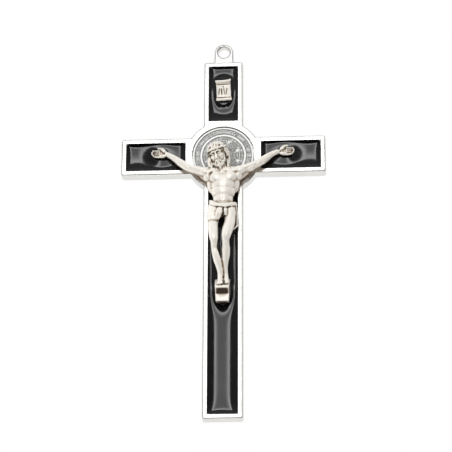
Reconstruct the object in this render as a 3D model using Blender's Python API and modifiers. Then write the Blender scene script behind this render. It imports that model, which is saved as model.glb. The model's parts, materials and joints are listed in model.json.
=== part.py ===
"""Wall crucifix: a small cast cross with black enamel panels, a round medal, a scroll and a corpus.

Metres, +Z up, the front towards -Y. The flat back lies in the plane Y = 0, and the
origin is the centre of the hanging hole on that back plane.
"""

import math

import bmesh
import bpy
from mathutils import Euler, Matrix, Vector

mm = 0.001

# Cross body
arm_reach = 32.5 * mm
top_reach = 32.8 * mm
foot_reach = 86.4 * mm
limb_width = 12.5 * mm
body_thickness = 4.2 * mm
rim_width = 1.55 * mm
panel_depth = 1.3 * mm
corner_radius = 0.8 * mm
edge_round = 0.28 * mm

# Hub and medal
medal_radius = 9.7 * mm
medal_thickness = 1.0 * mm
medal_seat_depth = 1.4 * mm
hub_wall = 2.0 * mm
medal_relief = 0.16 * mm
medal_ring_radius = 6.9 * mm
medal_ring_width = 0.8 * mm
medal_border = 0.7 * mm
motif_reach = 5.6 * mm
motif_waist = 0.55 * mm
motif_flare = 1.5 * mm

# Hanging loop
loop_rise = 4.3 * mm
loop_hole_radius = 1.8 * mm
loop_side_wall = 1.3 * mm
loop_top_wall = 1.2 * mm
loop_thickness = 2.5 * mm
loop_flare = 0.6 * mm

# Enamel
enamel_level = 0.62 * mm
enamel_rim_gap = 0.1 * mm
meniscus_width = 1.1 * mm

# Scroll above the head
scroll_width = 4.8 * mm
scroll_height = 7.4 * mm
scroll_thickness = 0.7 * mm
scroll_roll_radius = 0.55 * mm
scroll_waist = 0.15 * mm
scroll_lean = math.radians(3.0)
scroll_offset = 0.1 * mm
scroll_share = 0.541

# Corpus
figure_height = 48.2 * mm
figure_standoff = 0.4 * mm

# Foot bracket, cast with the corpus
bracket_top_width = 4.7 * mm
bracket_foot_width = 4.1 * mm
bracket_height = 7.6 * mm
bracket_reach = 3.7 * mm
bracket_lip = 0.6 * mm
bracket_nose_drop = 3.27 * mm
bracket_cove_drop = 1.15 * mm
bracket_plate_top = 1.75 * mm
bracket_plate_foot = 1.65 * mm

clearance = 0.3 * mm

# Sizes that follow from the ones above
hole_above_crossing = top_reach + loop_rise
seat_radius = medal_radius + clearance
hub_radius = seat_radius + hub_wall
panel_half = limb_width / 2 - rim_width
panel_start = hub_radius
front = -body_thickness
crossing = Vector((0, 0, -hole_above_crossing))


def clear_scene():
    for item in list(bpy.data.objects):
        bpy.data.objects.remove(item, do_unlink=True)


def collection(name):
    made = bpy.data.collections.new(name)
    bpy.context.scene.collection.children.link(made)
    return made


def material(name, colour, roughness, metallic):
    made = bpy.data.materials.new(name)
    made.use_nodes = True
    shader = made.node_tree.nodes["Principled BSDF"]
    shader.inputs["Base Color"].default_value = (*colour, 1)
    shader.inputs["Roughness"].default_value = roughness
    shader.inputs["Metallic"].default_value = metallic
    return made


def add_object(name, mesh, group, place=(0, 0, 0)):
    made = bpy.data.objects.new(name, mesh)
    made.location = place
    group.objects.link(made)
    return made


def finish(item, surface, sharp=35):
    """Give an object its material and smooth shading with sharp corners kept."""
    item.data.materials.clear()
    item.data.materials.append(surface)
    item.data.shade_smooth()
    item.data.set_sharp_from_angle(angle=math.radians(sharp))


def outline_plate(name, points, thickness, group, back=0.0):
    """A flat plate from an outline in X and Z, its back face at Y = back."""
    shape = bmesh.new()
    sheet = shape.faces.new([shape.verts.new((x, back, z)) for x, z in points])
    raised = bmesh.ops.extrude_face_region(shape, geom=[sheet])
    moved = [item for item in raised["geom"] if isinstance(item, bmesh.types.BMVert)]
    bmesh.ops.translate(shape, vec=(0, -thickness, 0), verts=moved)
    bmesh.ops.recalc_face_normals(shape, faces=shape.faces)
    mesh = bpy.data.meshes.new(name)
    shape.to_mesh(mesh)
    shape.free()
    return add_object(name, mesh, group)


def arc(centre, radius, start, end, steps):
    """Points on an arc, angles in degrees."""
    points = []
    for step in range(steps + 1):
        angle = math.radians(start + (end - start) * step / steps)
        points.append((centre[0] + radius * math.cos(angle), centre[1] + radius * math.sin(angle)))
    return points


def box(name, low, high, group):
    shape = bmesh.new()
    bmesh.ops.create_cube(shape, size=1)
    size = [high[axis] - low[axis] for axis in range(3)]
    middle = [(high[axis] + low[axis]) / 2 for axis in range(3)]
    bmesh.ops.scale(shape, vec=size, verts=shape.verts)
    bmesh.ops.translate(shape, vec=middle, verts=shape.verts)
    mesh = bpy.data.meshes.new(name)
    shape.to_mesh(mesh)
    shape.free()
    return add_object(name, mesh, group)


def disc(name, radius, back, face, centre, group, sides=48):
    """A round bar along Y from Y = back to Y = face."""
    shape = bmesh.new()
    bmesh.ops.create_cone(
        shape, cap_ends=True, segments=sides, radius1=radius, radius2=radius, depth=back - face)
    turn = Matrix.Rotation(math.pi / 2, 4, "X")
    middle = Matrix.Translation((centre[0], (back + face) / 2, centre[2]))
    bmesh.ops.transform(shape, matrix=middle @ turn, verts=shape.verts)
    mesh = bpy.data.meshes.new(name)
    shape.to_mesh(mesh)
    shape.free()
    return add_object(name, mesh, group)


def combine(item, other, operation):
    joined = item.modifiers.new(other.name, "BOOLEAN")
    joined.operation = operation
    joined.solver = "EXACT"
    joined.object = other


def as_cutter(item):
    item.hide_render = True
    item.display_type = "WIRE"


def turned_limb(reach, quarter):
    """One limb of the cross outline, then the hub's arc on to the next limb."""
    half = limb_width / 2
    round_end = arc((reach - corner_radius, half - corner_radius), corner_radius, 0, 90, 4)
    mirrored = [(x, -z) for x, z in reversed(round_end)]
    meet = math.degrees(math.asin(half / hub_radius))
    points = mirrored + round_end + arc((0, 0), hub_radius, meet, 90 - meet, 4)
    turn = math.radians(90 * quarter)
    return [(x * math.cos(turn) - z * math.sin(turn), x * math.sin(turn) + z * math.cos(turn))
            for x, z in points]


def cross_outline():
    points = []
    for quarter, reach in enumerate((arm_reach, top_reach, arm_reach, foot_reach)):
        points += [(x, z + crossing.z) for x, z in turned_limb(reach, quarter)]
    return points


def loop_outline():
    """The tab of the hanging loop: a round top over sides that flare at the foot."""
    half = loop_hole_radius + loop_side_wall
    top = loop_hole_radius + loop_top_wall
    bow = [(x, top - half + z) for x, z in arc((0, 0), half, 0, 180, 14)]
    foot = -loop_rise - edge_round
    right = [(half + loop_flare, foot), (half + loop_flare, foot + 0.5 * mm), (half, -loop_rise * 0.62)]
    left = [(-x, z) for x, z in reversed(right)]
    return right + bow + left


def panels():
    """The four enamelled panels as name and (low x, high x, low z, high z), from the crossing."""
    end = {"top": top_reach, "bottom": foot_reach, "left": arm_reach, "right": arm_reach}
    reach = {side: length - rim_width for side, length in end.items()}
    return {
        "top": (-panel_half, panel_half, panel_start, reach["top"]),
        "bottom": (-panel_half, panel_half, -reach["bottom"], -panel_start),
        "left": (-reach["left"], -panel_start, -panel_half, panel_half),
        "right": (panel_start, reach["right"], -panel_half, panel_half),
    }


def make_cross_body(parts, cutters, surface):
    body = outline_plate("cross_body", cross_outline(), body_thickness, parts)
    tab = outline_plate("loop tab", loop_outline(), loop_thickness, cutters)
    combine(body, tab, "UNION")
    deep = front + panel_depth
    outside = front - 1 * mm
    tools = [tab]
    for name, (x0, x1, z0, z1) in panels().items():
        pocket = box(name + " pocket", (x0, outside, z0 + crossing.z), (x1, deep, z1 + crossing.z), cutters)
        tools.append(pocket)
    seat = disc("medal seat", seat_radius, front + medal_seat_depth, outside, crossing, cutters)
    hole = disc("hanging hole", loop_hole_radius, 1 * mm, outside, (0, 0, 0), cutters, sides=24)
    tools += [seat, hole]
    for tool in tools:
        as_cutter(tool)
    for tool in tools[1:]:
        combine(body, tool, "DIFFERENCE")
    soften = body.modifiers.new("edges", "BEVEL")
    soften.width = edge_round
    soften.segments = 2
    soften.limit_method = "ANGLE"
    soften.angle_limit = math.radians(50)
    finish(body, surface)


def spread(count):
    """Shares from 0 to 1, closer together at both ends."""
    return [0.5 - 0.5 * math.cos(math.pi * step / count) for step in range(count + 1)]


def make_enamel(side, span, parts, surface):
    """A poured panel, sunk in the middle and drawn up along its four edges."""
    x0, x1, z0, z1 = (value + shift for value, shift in zip(span, (clearance, -clearance) * 2))
    floor = front + panel_depth - clearance
    lift = enamel_level - enamel_rim_gap
    columns = 8 if x1 - x0 < z1 - z0 else 14
    rows = 8 if z1 - z0 < x1 - x0 else max(14, round((z1 - z0) / (2.6 * mm)))
    shape = bmesh.new()
    grid = []
    for z_share in spread(rows):
        line = []
        for x_share in spread(columns):
            x = x0 + (x1 - x0) * x_share
            z = z0 + (z1 - z0) * z_share
            edge_x = min(x - x0, x1 - x)
            edge_z = min(z - z0, z1 - z)
            drawn = math.exp(-edge_x / meniscus_width) + math.exp(-edge_z / meniscus_width)
            y = front + enamel_level - lift * min(1, drawn)
            line.append(shape.verts.new((x, y, z + crossing.z)))
        grid.append(line)
    for row in range(rows):
        for column in range(columns):
            shape.faces.new((grid[row][column], grid[row][column + 1],
                             grid[row + 1][column + 1], grid[row + 1][column]))
    skirt = bmesh.ops.extrude_edge_only(shape, edges=[edge for edge in shape.edges if edge.is_boundary])
    for vertex in (item for item in skirt["geom"] if isinstance(item, bmesh.types.BMVert)):
        vertex.co.y = floor
    bmesh.ops.holes_fill(shape, edges=[edge for edge in shape.edges if edge.is_boundary])
    bmesh.ops.recalc_face_normals(shape, faces=shape.faces)
    mesh = bpy.data.meshes.new("enamel_" + side)
    shape.to_mesh(mesh)
    shape.free()
    finish(add_object("enamel_" + side, mesh, parts), surface)


def medal_profile():
    """The turned half section of the medal as radius and height above its back."""
    low = medal_thickness - medal_relief
    high = medal_thickness
    slope = medal_relief * 0.6
    ring_out = medal_ring_radius + medal_ring_width / 2
    ring_in = medal_ring_radius - medal_ring_width / 2
    border_in = medal_radius - medal_border
    return [
        (0, low), (ring_in - slope, low), (ring_in, high), (ring_out, high), (ring_out + slope, low),
        (border_in - slope, low), (border_in, high), (medal_radius - slope, high),
        (medal_radius, high - slope), (medal_radius, 0), (0, 0),
    ]


def make_medal(parts, cutters, surface):
    back = front + medal_seat_depth - clearance
    shape = bmesh.new()
    points = [shape.verts.new((radius, 0, height)) for radius, height in medal_profile()]
    for first, second in zip(points, points[1:]):
        shape.edges.new((first, second))
    bmesh.ops.spin(shape, geom=shape.verts[:] + shape.edges[:], cent=(0, 0, 0), axis=(0, 0, 1),
                   dvec=(0, 0, 0), angle=math.tau, steps=48, use_duplicate=False)
    bmesh.ops.remove_doubles(shape, verts=shape.verts, dist=0.000001)
    bmesh.ops.recalc_face_normals(shape, faces=shape.faces)
    mesh = bpy.data.meshes.new("medal")
    shape.to_mesh(mesh)
    shape.free()
    mesh.transform(Matrix.Rotation(math.pi / 2, 4, "X"))
    medal = add_object("medal", mesh, parts, place=(0, back, crossing.z))
    outline = []
    for quarter in range(4):
        turn = math.radians(90 * quarter)
        arm = [(motif_waist, motif_waist), (motif_reach * 0.9, motif_flare), (motif_reach, motif_flare * 0.8)]
        arm += [(x, -z) for x, z in reversed(arm[1:])]
        outline += [(x * math.sin(turn) + z * math.cos(turn), x * math.cos(turn) - z * math.sin(turn))
                    for x, z in reversed(arm)]
    motif_back = -(medal_thickness - 2 * medal_relief)
    motif = outline_plate("medal motif", outline, medal_relief * 1.8, cutters, back=motif_back)
    motif.location = medal.location
    combine(medal, motif, "UNION")
    as_cutter(motif)
    finish(medal, surface)


def make_scroll(parts, cutters, surface):
    """The parchment scroll over the head: a sheet with drawn-in sides between two rolls."""
    panel_middle = panel_start + (top_reach - rim_width - panel_start) * scroll_share
    sheet = []
    for step in range(9):
        share = step / 8
        waist = scroll_waist * math.sin(math.pi * share)
        sheet.append((scroll_width / 2 - waist, scroll_height * (share - 0.5)))
    outline = sheet + [(-x, z) for x, z in reversed(sheet)]
    back = front + enamel_level - clearance - enamel_rim_gap * 2
    scroll = outline_plate("scroll", outline, scroll_thickness, parts)
    for name, share in (("upper roll", 0.5), ("lower roll", -0.5)):
        roll = bmesh.new()
        bmesh.ops.create_cone(roll, cap_ends=True, segments=14, radius1=scroll_roll_radius,
                              radius2=scroll_roll_radius, depth=scroll_width * 1.04)
        height = scroll_height * share * (1 - scroll_roll_radius / scroll_height * 2)
        turn = Matrix.Rotation(math.pi / 2, 4, "Y")
        place = Matrix.Translation((0, -scroll_roll_radius, height))
        bmesh.ops.transform(roll, matrix=place @ turn, verts=roll.verts)
        mesh = bpy.data.meshes.new(name)
        roll.to_mesh(mesh)
        roll.free()
        item = add_object(name, mesh, cutters)
        item.parent = scroll
        combine(scroll, item, "UNION")
        as_cutter(item)
    scroll.location = (scroll_offset, back, crossing.z + panel_middle)
    scroll.rotation_euler = (0, -scroll_lean, 0)
    finish(scroll, surface)


class Figure:
    """Collects the rounded masses of the corpus, in parts of a 48.2-unit tall figure.

    X is to the right, Y out of the front face of the cross towards the back, Z up, all
    from the crossing on the front face.
    """

    def __init__(self):
        self.shape = bmesh.new()

    def ball(self, centre, radii, turn=(0, 0, 0), sides=16):
        """An ellipsoid; turn is in degrees."""
        made = bmesh.ops.create_uvsphere(self.shape, u_segments=sides, v_segments=sides // 2 + 2, radius=1)
        angles = Euler([math.radians(angle) for angle in turn])
        matrix = Matrix.LocRotScale(Vector(centre), angles, Vector(radii))
        bmesh.ops.transform(self.shape, matrix=matrix, verts=made["verts"])

    def limb(self, stations, flat=1.0, closed=False):
        """A tube through (x, y, z, radius) stations with round ends; flat thins it in Y."""
        sides = 12
        places = [Vector(station[:3]) for station in stations]
        rings = []
        for index, station in enumerate(stations):
            before = places[index - 1] if closed else places[max(index - 1, 0)]
            after = places[(index + 1) % len(places)] if closed else places[min(index + 1, len(places) - 1)]
            along = (after - before).normalized()
            across = along.cross(Vector((0, 1, 0))).normalized()
            depth = along.cross(across).normalized()
            ring = []
            for side in range(sides):
                angle = math.tau * side / sides
                offset = across * math.cos(angle) + depth * math.sin(angle) * flat
                ring.append(self.shape.verts.new(places[index] + offset * station[3]))
            rings.append(ring)
        for first, second in zip(rings, rings[1:] + rings[:1] * closed):
            for side in range(sides):
                after = (side + 1) % sides
                self.shape.faces.new((first[side], first[after], second[after], second[side]))
        if closed:
            return
        self.shape.faces.new(reversed(rings[0]))
        self.shape.faces.new(rings[-1])
        for place, station in ((places[0], stations[0]), (places[-1], stations[-1])):
            self.ball(place, (station[3], station[3] * flat, station[3]), sides=12)


def model_torso(figure):
    figure.ball((0.25, -2.75, -10.9), (4.2, 2.3, 4.9))
    figure.ball((0.22, -2.8, -13.4), (3.85, 2.2, 3.6))
    figure.ball((-1.9, -3.75, -9.1), (2.3, 1.1, 2.2), (0, 10, 0))
    figure.ball((2.3, -3.75, -8.9), (2.3, 1.1, 2.2), (0, -10, 0))
    figure.ball((0.2, -2.8, -15.9), (3.15, 2.05, 4.2))
    figure.ball((0.2, -3.0, -19.6), (4.1, 2.35, 2.9))
    for side in (-1, 1):
        figure.ball((side * 4.0 + 0.2, -2.3, -10.6), (1.2, 1.5, 3.4), (0, side * 6, 0))
        figure.limb([(side * 3.9, -2.4, -10.2, 1.0), (side * 5.6, -2.4, -8.6, 0.95), (side * 7.4, -2.3, -7.0, 0.8)])


def model_arms(figure):
    figure.limb([(-0.6, -3.1, -6.6, 1.55), (-3.0, -2.9, -7.0, 1.6), (-5.5, -2.7, -6.9, 1.75),
                 (-8.2, -2.4, -6.0, 1.5), (-11.1, -2.2, -4.8, 1.35), (-13.3, -2.0, -3.2, 1.3),
                 (-15.6, -1.7, -1.3, 1.0), (-17.7, -1.5, 0.1, 0.8)])
    figure.limb([(0.6, -3.1, -6.6, 1.55), (3.0, -2.9, -6.8, 1.6), (5.4, -2.7, -6.5, 1.7),
                 (8.2, -2.4, -5.4, 1.5), (11.0, -2.2, -4.0, 1.35), (13.2, -2.0, -2.5, 1.3),
                 (15.4, -1.7, -0.8, 1.0), (17.3, -1.5, 0.2, 0.8)])


def model_hands(figure):
    """Open palms turned to the front, with the fingers slightly curled."""
    for side, rise in ((-1, 0.35), (1, 0.4)):
        figure.ball((side * 19.4, -1.15, rise), (1.75, 0.62, 1.45))
        for finger in range(4):
            height = rise + 1.05 - 0.7 * finger
            length = (2.3, 2.75, 2.7, 2.2)[finger]
            figure.limb([(side * 20.2, -1.2, height, 0.36), (side * (19.0 + length), -1.35, height * 0.9, 0.34),
                         (side * (19.6 + length), -1.9, height * 0.8, 0.28)])
        figure.limb([(side * 18.5, -1.3, rise + 0.6, 0.42), (side * 19.3, -1.6, rise + 1.5, 0.38),
                     (side * 20.2, -2.0, rise + 1.65, 0.3)])


def model_head(figure):
    """The bowed head with long hair, a short beard and the plaited crown."""
    figure.limb([(0.0, -3.0, -7.4, 1.7), (-0.7, -3.7, -4.4, 1.6)])
    figure.ball((-1.5, -3.9, -0.4), (2.55, 2.7, 3.7), (-14, -14, 0))
    figure.ball((-0.75, -5.0, -2.4), (1.9, 1.55, 3.1), (-10, -16, -10))
    figure.ball((-0.2, -5.3, -5.1), (1.35, 1.1, 1.5), (-8, -14, 0))
    figure.limb([(-1.15, -6.35, -1.4, 0.28), (-0.85, -6.85, -2.7, 0.4)])
    figure.limb([(-3.6, -4.1, 1.2, 1.0), (-3.9, -4.1, -1.6, 1.0), (-3.6, -3.9, -4.2, 0.85), (-3.3, -4.4, -6.0, 0.5)])
    figure.limb([(0.5, -4.0, 1.6, 1.0), (1.4, -4.1, -1.2, 1.05), (1.9, -4.0, -4.0, 0.95), (2.2, -4.2, -6.6, 0.55)])
    band = []
    for step in range(16):
        angle = math.tau * step / 16
        flat = Vector((2.85 * math.cos(angle), 2.75 * math.sin(angle), 0))
        flat.rotate(Euler((math.radians(-16), math.radians(-14), 0)))
        place = Vector((-1.6, -4.0, 0.9)) + flat
        band.append((*place, 0.42))
    figure.limb(band, closed=True)


def model_loincloth(figure):
    figure.limb([(-4.0, -2.6, -17.2, 0.5), (-3.0, -4.6, -17.9, 0.5), (-1.2, -5.3, -18.6, 0.5),
                 (0.6, -5.4, -19.0, 0.55), (2.6, -5.0, -18.6, 0.5), (4.1, -3.6, -18.2, 0.5), (4.4, -2.2, -18.2, 0.45)])
    figure.limb([(-2.3, -3.2, -19.5, 2.35), (-2.75, -3.9, -22.4, 1.95), (-2.85, -4.1, -23.5, 1.75)])
    figure.limb([(2.3, -3.2, -19.5, 2.3), (2.4, -3.7, -21.4, 1.95)])
    figure.limb([(0.9, -5.1, -19.2, 0.6), (1.0, -5.4, -20.8, 0.65), (1.1, -5.3, -22.2, 0.5)], flat=0.7)
    figure.limb([(4.2, -2.4, -18.6, 0.6), (4.5, -2.2, -21.5, 0.5), (4.8, -2.0, -24.6, 0.4), (3.4, -2.1, -26.0, 0.4)])


def model_legs(figure):
    figure.limb([(-2.3, -3.1, -20.0, 1.75), (-2.85, -3.9, -24.6, 1.5), (-2.55, -4.7, -28.4, 1.35),
                 (-2.25, -5.05, -31.0, 1.05), (-2.0, -4.7, -33.4, 1.1), (-1.7, -4.3, -36.0, 1.2),
                 (-1.15, -3.8, -38.8, 0.98), (-0.6, -3.3, -41.3, 0.85)])
    figure.limb([(2.2, -3.1, -20.0, 1.75), (2.15, -3.8, -24.2, 1.5), (1.35, -4.75, -28.0, 1.45),
                 (1.15, -5.0, -30.4, 1.2), (1.25, -4.5, -32.8, 1.25), (1.4, -3.9, -35.2, 1.2),
                 (1.4, -3.4, -38.0, 0.85), (1.15, -2.7, -41.0, 0.75)])
    figure.limb([(-0.6, -3.3, -41.3, 0.85), (-0.6, -3.9, -43.4, 0.75)])
    figure.limb([(-0.5, -2.0, -41.8, 0.8), (-0.55, -3.2, -42.9, 0.95), (-0.6, -4.2, -44.4, 0.8)])
    figure.limb([(1.15, -2.7, -41.0, 0.75), (1.4, -3.3, -43.0, 0.7)])
    figure.limb([(1.2, -2.0, -41.8, 0.7), (1.4, -3.1, -43.0, 0.8), (1.5, -4.0, -44.2, 0.65)])


def bracket_solid(group, unit):
    """The block under the feet: a sloping rest, a lip, a cove under the lip and an upright plate."""
    top = -41.9 * unit
    foot = top - bracket_height
    nose = top - bracket_nose_drop
    inner = -clearance - figure_standoff * 0.25
    out = inner - bracket_reach
    under_lip = nose - bracket_lip
    profile = [(inner, top), (out, nose), (out, under_lip),
               (inner - bracket_plate_top, under_lip - bracket_cove_drop),
               (inner - bracket_plate_foot, foot), (inner, foot)]
    shape = bmesh.new()
    ends = []
    for side in (-1, 1):
        ring = []
        for y, z in profile:
            share = (top - z) / bracket_height
            half = (bracket_top_width * (1 - share) + bracket_foot_width * share) / 2
            ring.append(shape.verts.new((side * half, y, z)))
        ends.append(ring)
    for step in range(len(profile)):
        after = (step + 1) % len(profile)
        shape.faces.new((ends[0][step], ends[0][after], ends[1][after], ends[1][step]))
    shape.faces.new(reversed(ends[0]))
    shape.faces.new(ends[1])
    bmesh.ops.recalc_face_normals(shape, faces=shape.faces)
    mesh = bpy.data.meshes.new("foot bracket")
    shape.to_mesh(mesh)
    shape.free()
    return add_object("foot bracket", mesh, group)


def make_corpus(parts, cutters, surface):
    """The figure and the bracket under its feet, cast as one piece."""
    unit = figure_height / 48.2
    figure = Figure()
    for model in (model_torso, model_arms, model_hands, model_head, model_loincloth, model_legs):
        model(figure)
    mesh = bpy.data.meshes.new("corpus")
    bmesh.ops.scale(figure.shape, vec=(unit,) * 3, verts=figure.shape.verts)
    figure.shape.to_mesh(mesh)
    figure.shape.free()
    corpus = add_object("corpus", mesh, parts, place=(0, front, crossing.z))
    blend = corpus.modifiers.new("one skin", "REMESH")
    blend.mode = "VOXEL"
    blend.voxel_size = 0.3 * unit
    blend.adaptivity = 0
    soften = corpus.modifiers.new("soften", "SMOOTH")
    soften.factor = 0.5
    soften.iterations = 3
    lighter = corpus.modifiers.new("fewer faces", "DECIMATE")
    lighter.ratio = 0.12
    bracket = bracket_solid(cutters, unit)
    bracket.location = corpus.location
    combine(corpus, bracket, "UNION")
    as_cutter(bracket)
    depth = 30 * mm
    behind = box("flat back", (-depth, -figure_standoff, -2 * depth), (depth, depth, depth), cutters)
    behind.location = corpus.location
    combine(corpus, behind, "DIFFERENCE")
    as_cutter(behind)
    finish(corpus, surface, sharp=60)


def main():
    clear_scene()
    parts = collection("wall_crucifix")
    cutters = collection("cutters")
    plated = material("plated metal", (0.86, 0.85, 0.82), 0.22, 1.0)
    antiqued = material("antiqued silver", (0.72, 0.68, 0.62), 0.38, 1.0)
    medal_silver = material("medal silver", (0.62, 0.65, 0.66), 0.4, 1.0)
    enamel = material("black enamel", (0.012, 0.012, 0.013), 0.06, 0.0)
    make_cross_body(parts, cutters, plated)
    for side, span in panels().items():
        make_enamel(side, span, parts, enamel)
    make_medal(parts, cutters, medal_silver)
    make_scroll(parts, cutters, antiqued)
    make_corpus(parts, cutters, antiqued)


main()
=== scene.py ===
import json
import math

import bpy
import numpy as np
from mathutils import Euler, Matrix, Vector

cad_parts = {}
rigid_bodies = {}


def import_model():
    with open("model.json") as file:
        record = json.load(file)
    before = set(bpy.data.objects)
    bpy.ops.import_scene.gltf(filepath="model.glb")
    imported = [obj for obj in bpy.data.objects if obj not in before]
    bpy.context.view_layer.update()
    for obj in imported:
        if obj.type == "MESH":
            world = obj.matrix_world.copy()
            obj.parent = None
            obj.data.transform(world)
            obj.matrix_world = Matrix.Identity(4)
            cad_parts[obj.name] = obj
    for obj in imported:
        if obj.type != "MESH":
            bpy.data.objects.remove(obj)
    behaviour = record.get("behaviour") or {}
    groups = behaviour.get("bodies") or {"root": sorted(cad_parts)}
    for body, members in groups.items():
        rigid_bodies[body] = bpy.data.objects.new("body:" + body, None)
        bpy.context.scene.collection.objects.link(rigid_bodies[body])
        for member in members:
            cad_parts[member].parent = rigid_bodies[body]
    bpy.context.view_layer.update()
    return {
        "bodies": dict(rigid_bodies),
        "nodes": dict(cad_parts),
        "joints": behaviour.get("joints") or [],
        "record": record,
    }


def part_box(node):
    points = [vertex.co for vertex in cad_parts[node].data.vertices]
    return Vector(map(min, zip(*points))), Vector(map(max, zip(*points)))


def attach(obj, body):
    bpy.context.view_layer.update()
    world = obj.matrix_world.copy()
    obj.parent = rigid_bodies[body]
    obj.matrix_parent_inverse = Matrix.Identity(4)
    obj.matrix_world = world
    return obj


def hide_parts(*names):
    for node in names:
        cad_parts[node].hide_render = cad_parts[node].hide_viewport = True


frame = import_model()
mm = 0.001
scene = bpy.context.scene

plateLow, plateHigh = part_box("cross_body")
medalLow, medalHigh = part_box("medal")
crossingZ = (medalLow[2] + medalHigh[2]) / 2      # the arms and the shaft cross here
frontY = plateLow[1]                              # front face of the rims


# Small helpers

def soloSelect(item):
    bpy.ops.object.select_all(action="DESELECT")
    item.select_set(True)
    bpy.context.view_layer.objects.active = item


def applyModifiers(item):
    soloSelect(item)
    for name in [modifier.name for modifier in item.modifiers]:
        bpy.ops.object.modifier_apply(modifier=name)


def applyPlace(item):
    soloSelect(item)
    bpy.ops.object.transform_apply(location=True, rotation=True, scale=True)


def joinPieces(items, name):
    bpy.ops.object.select_all(action="DESELECT")
    for item in items:
        item.select_set(True)
    bpy.context.view_layer.objects.active = items[0]
    bpy.ops.object.convert(target="MESH")
    bpy.ops.object.join()
    joined = bpy.context.view_layer.objects.active
    joined.name = name
    applyPlace(joined)
    return joined


def addModifier(item, kind, **values):
    made = item.modifiers.new(kind.lower(), kind)
    for key, value in values.items():
        setattr(made, key, value)
    return made


def faceOutwards():
    bpy.ops.object.mode_set(mode="EDIT")
    bpy.ops.mesh.select_all(action="SELECT")
    bpy.ops.mesh.normals_make_consistent(inside=False)
    bpy.ops.object.mode_set(mode="OBJECT")


def smoothShade(item, degrees=40):
    soloSelect(item)
    bpy.ops.object.shade_smooth_by_angle(angle=math.radians(degrees))


def readPoints(mesh):
    points = np.empty(len(mesh.vertices) * 3)
    mesh.vertices.foreach_get("co", points)
    return points.reshape(-1, 3)


def readNormals(mesh):
    normals = np.empty(len(mesh.vertices) * 3)
    mesh.vertex_normals.foreach_get("vector", normals)
    return normals.reshape(-1, 3)


def writePoints(mesh, points):
    mesh.vertices.foreach_set("co", points.ravel())
    mesh.update()


def neighbourMean(mesh, values, rounds):
    edges = np.empty(len(mesh.edges) * 2, dtype=np.int64)
    mesh.edges.foreach_get("vertices", edges)
    first, second = edges.reshape(-1, 2).T
    count = np.bincount(first, minlength=len(values)) + np.bincount(second, minlength=len(values))
    count = np.maximum(count, 1)[:, None]
    for _ in range(rounds):
        total = np.zeros_like(values)
        for axis in range(values.shape[1]):
            total[:, axis] = (np.bincount(first, weights=values[second, axis], minlength=len(values))
                              + np.bincount(second, weights=values[first, axis], minlength=len(values)))
        values = 0.5 * values + 0.5 * total / count
    return values


def softStep(value, edge, blur):
    return np.clip((value - edge) / blur + 0.5, 0, 1)


def bandOf(value, low, high, blur):
    return softStep(value, low, blur) * (1 - softStep(value, high, blur))


def pathDistance(points, path):
    best = np.full(len(points), 1e9)
    for start, end in zip(path, path[1:]):
        start, end = np.array(start), np.array(end)
        along = end - start
        share = np.clip(((points - start) @ along) / max(along @ along, 1e-12), 0, 1)
        best = np.minimum(best, np.linalg.norm(points - (start + share[:, None] * along), axis=1))
    return best


# Darkening from concavity: fine scales stand for patina in crevices, broad scales are painted shade
# (occlusion); the added darkening may hold painted shade too.
def markPatinaAndShade(item, scales, addedDarkening=None):
    mesh = item.data
    points = readPoints(mesh)
    normals = readNormals(mesh)
    depth = np.zeros(len(points))
    for rounds, reach, weight in scales:
        sunk = ((neighbourMean(mesh, points, rounds) - points) * normals).sum(axis=1)
        depth += weight * np.tanh(sunk / reach)
    if addedDarkening:
        depth += addedDarkening(points, normals)
    depth = neighbourMean(mesh, depth[:, None], 2)[:, 0]
    layer = mesh.attributes.new("patinaAndShade", "FLOAT", "POINT")
    layer.data.foreach_set("value", (depth * 0.5 + 0.5).astype(np.float32))


# Materials

def newMaterial(name):
    made = bpy.data.materials.new(name)
    made.use_nodes = True
    nodes = made.node_tree.nodes
    return made, nodes, made.node_tree.links, nodes["Principled BSDF"]


def noiseNode(nodes, links, coords, scale, detail=4.0):
    made = nodes.new("ShaderNodeTexNoise")
    made.inputs["Scale"].default_value = scale
    made.inputs["Detail"].default_value = detail
    links.new(coords.outputs["Object"], made.inputs["Vector"])
    return made


def rampNode(nodes, links, source, stops):
    made = nodes.new("ShaderNodeValToRGB")
    ramp = made.color_ramp
    while len(ramp.elements) < len(stops):
        ramp.elements.new(0.5)
    for element, (position, colour) in zip(ramp.elements, stops):
        element.position = position
        element.color = (*colour, 1)
    links.new(source, made.inputs["Fac"])
    return made


def bumpNode(nodes, links, height, strength, distance):
    made = nodes.new("ShaderNodeBump")
    made.inputs["Strength"].default_value = strength
    made.inputs["Distance"].default_value = distance
    links.new(height.outputs["Fac"], made.inputs["Height"])
    return made


def wireShader(links, shader, tone, rough, bump):
    links.new(tone.outputs["Color"], shader.inputs["Base Color"])
    links.new(rough.outputs["Color"], shader.inputs["Roughness"])
    links.new(bump.outputs["Normal"], shader.inputs["Normal"])


def grey(value):
    return (value, value, value)


platedLook = {
    "bright": (0.97, 0.96, 0.935), "shade": (0.95, 0.935, 0.905), "roughLow": 0.19, "roughHigh": 0.26,
    "cloudScale": 160, "grainScale": 2600, "bump": 0.02,
}


def makePlated():
    material, nodes, links, shader = newMaterial("platedMetal")
    coords = nodes.new("ShaderNodeTexCoord")
    cloud = noiseNode(nodes, links, coords, platedLook["cloudScale"])
    grain = noiseNode(nodes, links, coords, platedLook["grainScale"], 2)
    tone = rampNode(nodes, links, cloud.outputs["Fac"],
                    [(0.3, platedLook["shade"]), (0.7, platedLook["bright"])])
    rough = rampNode(nodes, links, cloud.outputs["Fac"],
                     [(0.3, grey(platedLook["roughLow"])), (0.75, grey(platedLook["roughHigh"]))])
    bump = bumpNode(nodes, links, grain, platedLook["bump"], 0.02 * mm)
    wireShader(links, shader, tone, rough, bump)
    shader.inputs["Metallic"].default_value = 1
    return material


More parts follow.
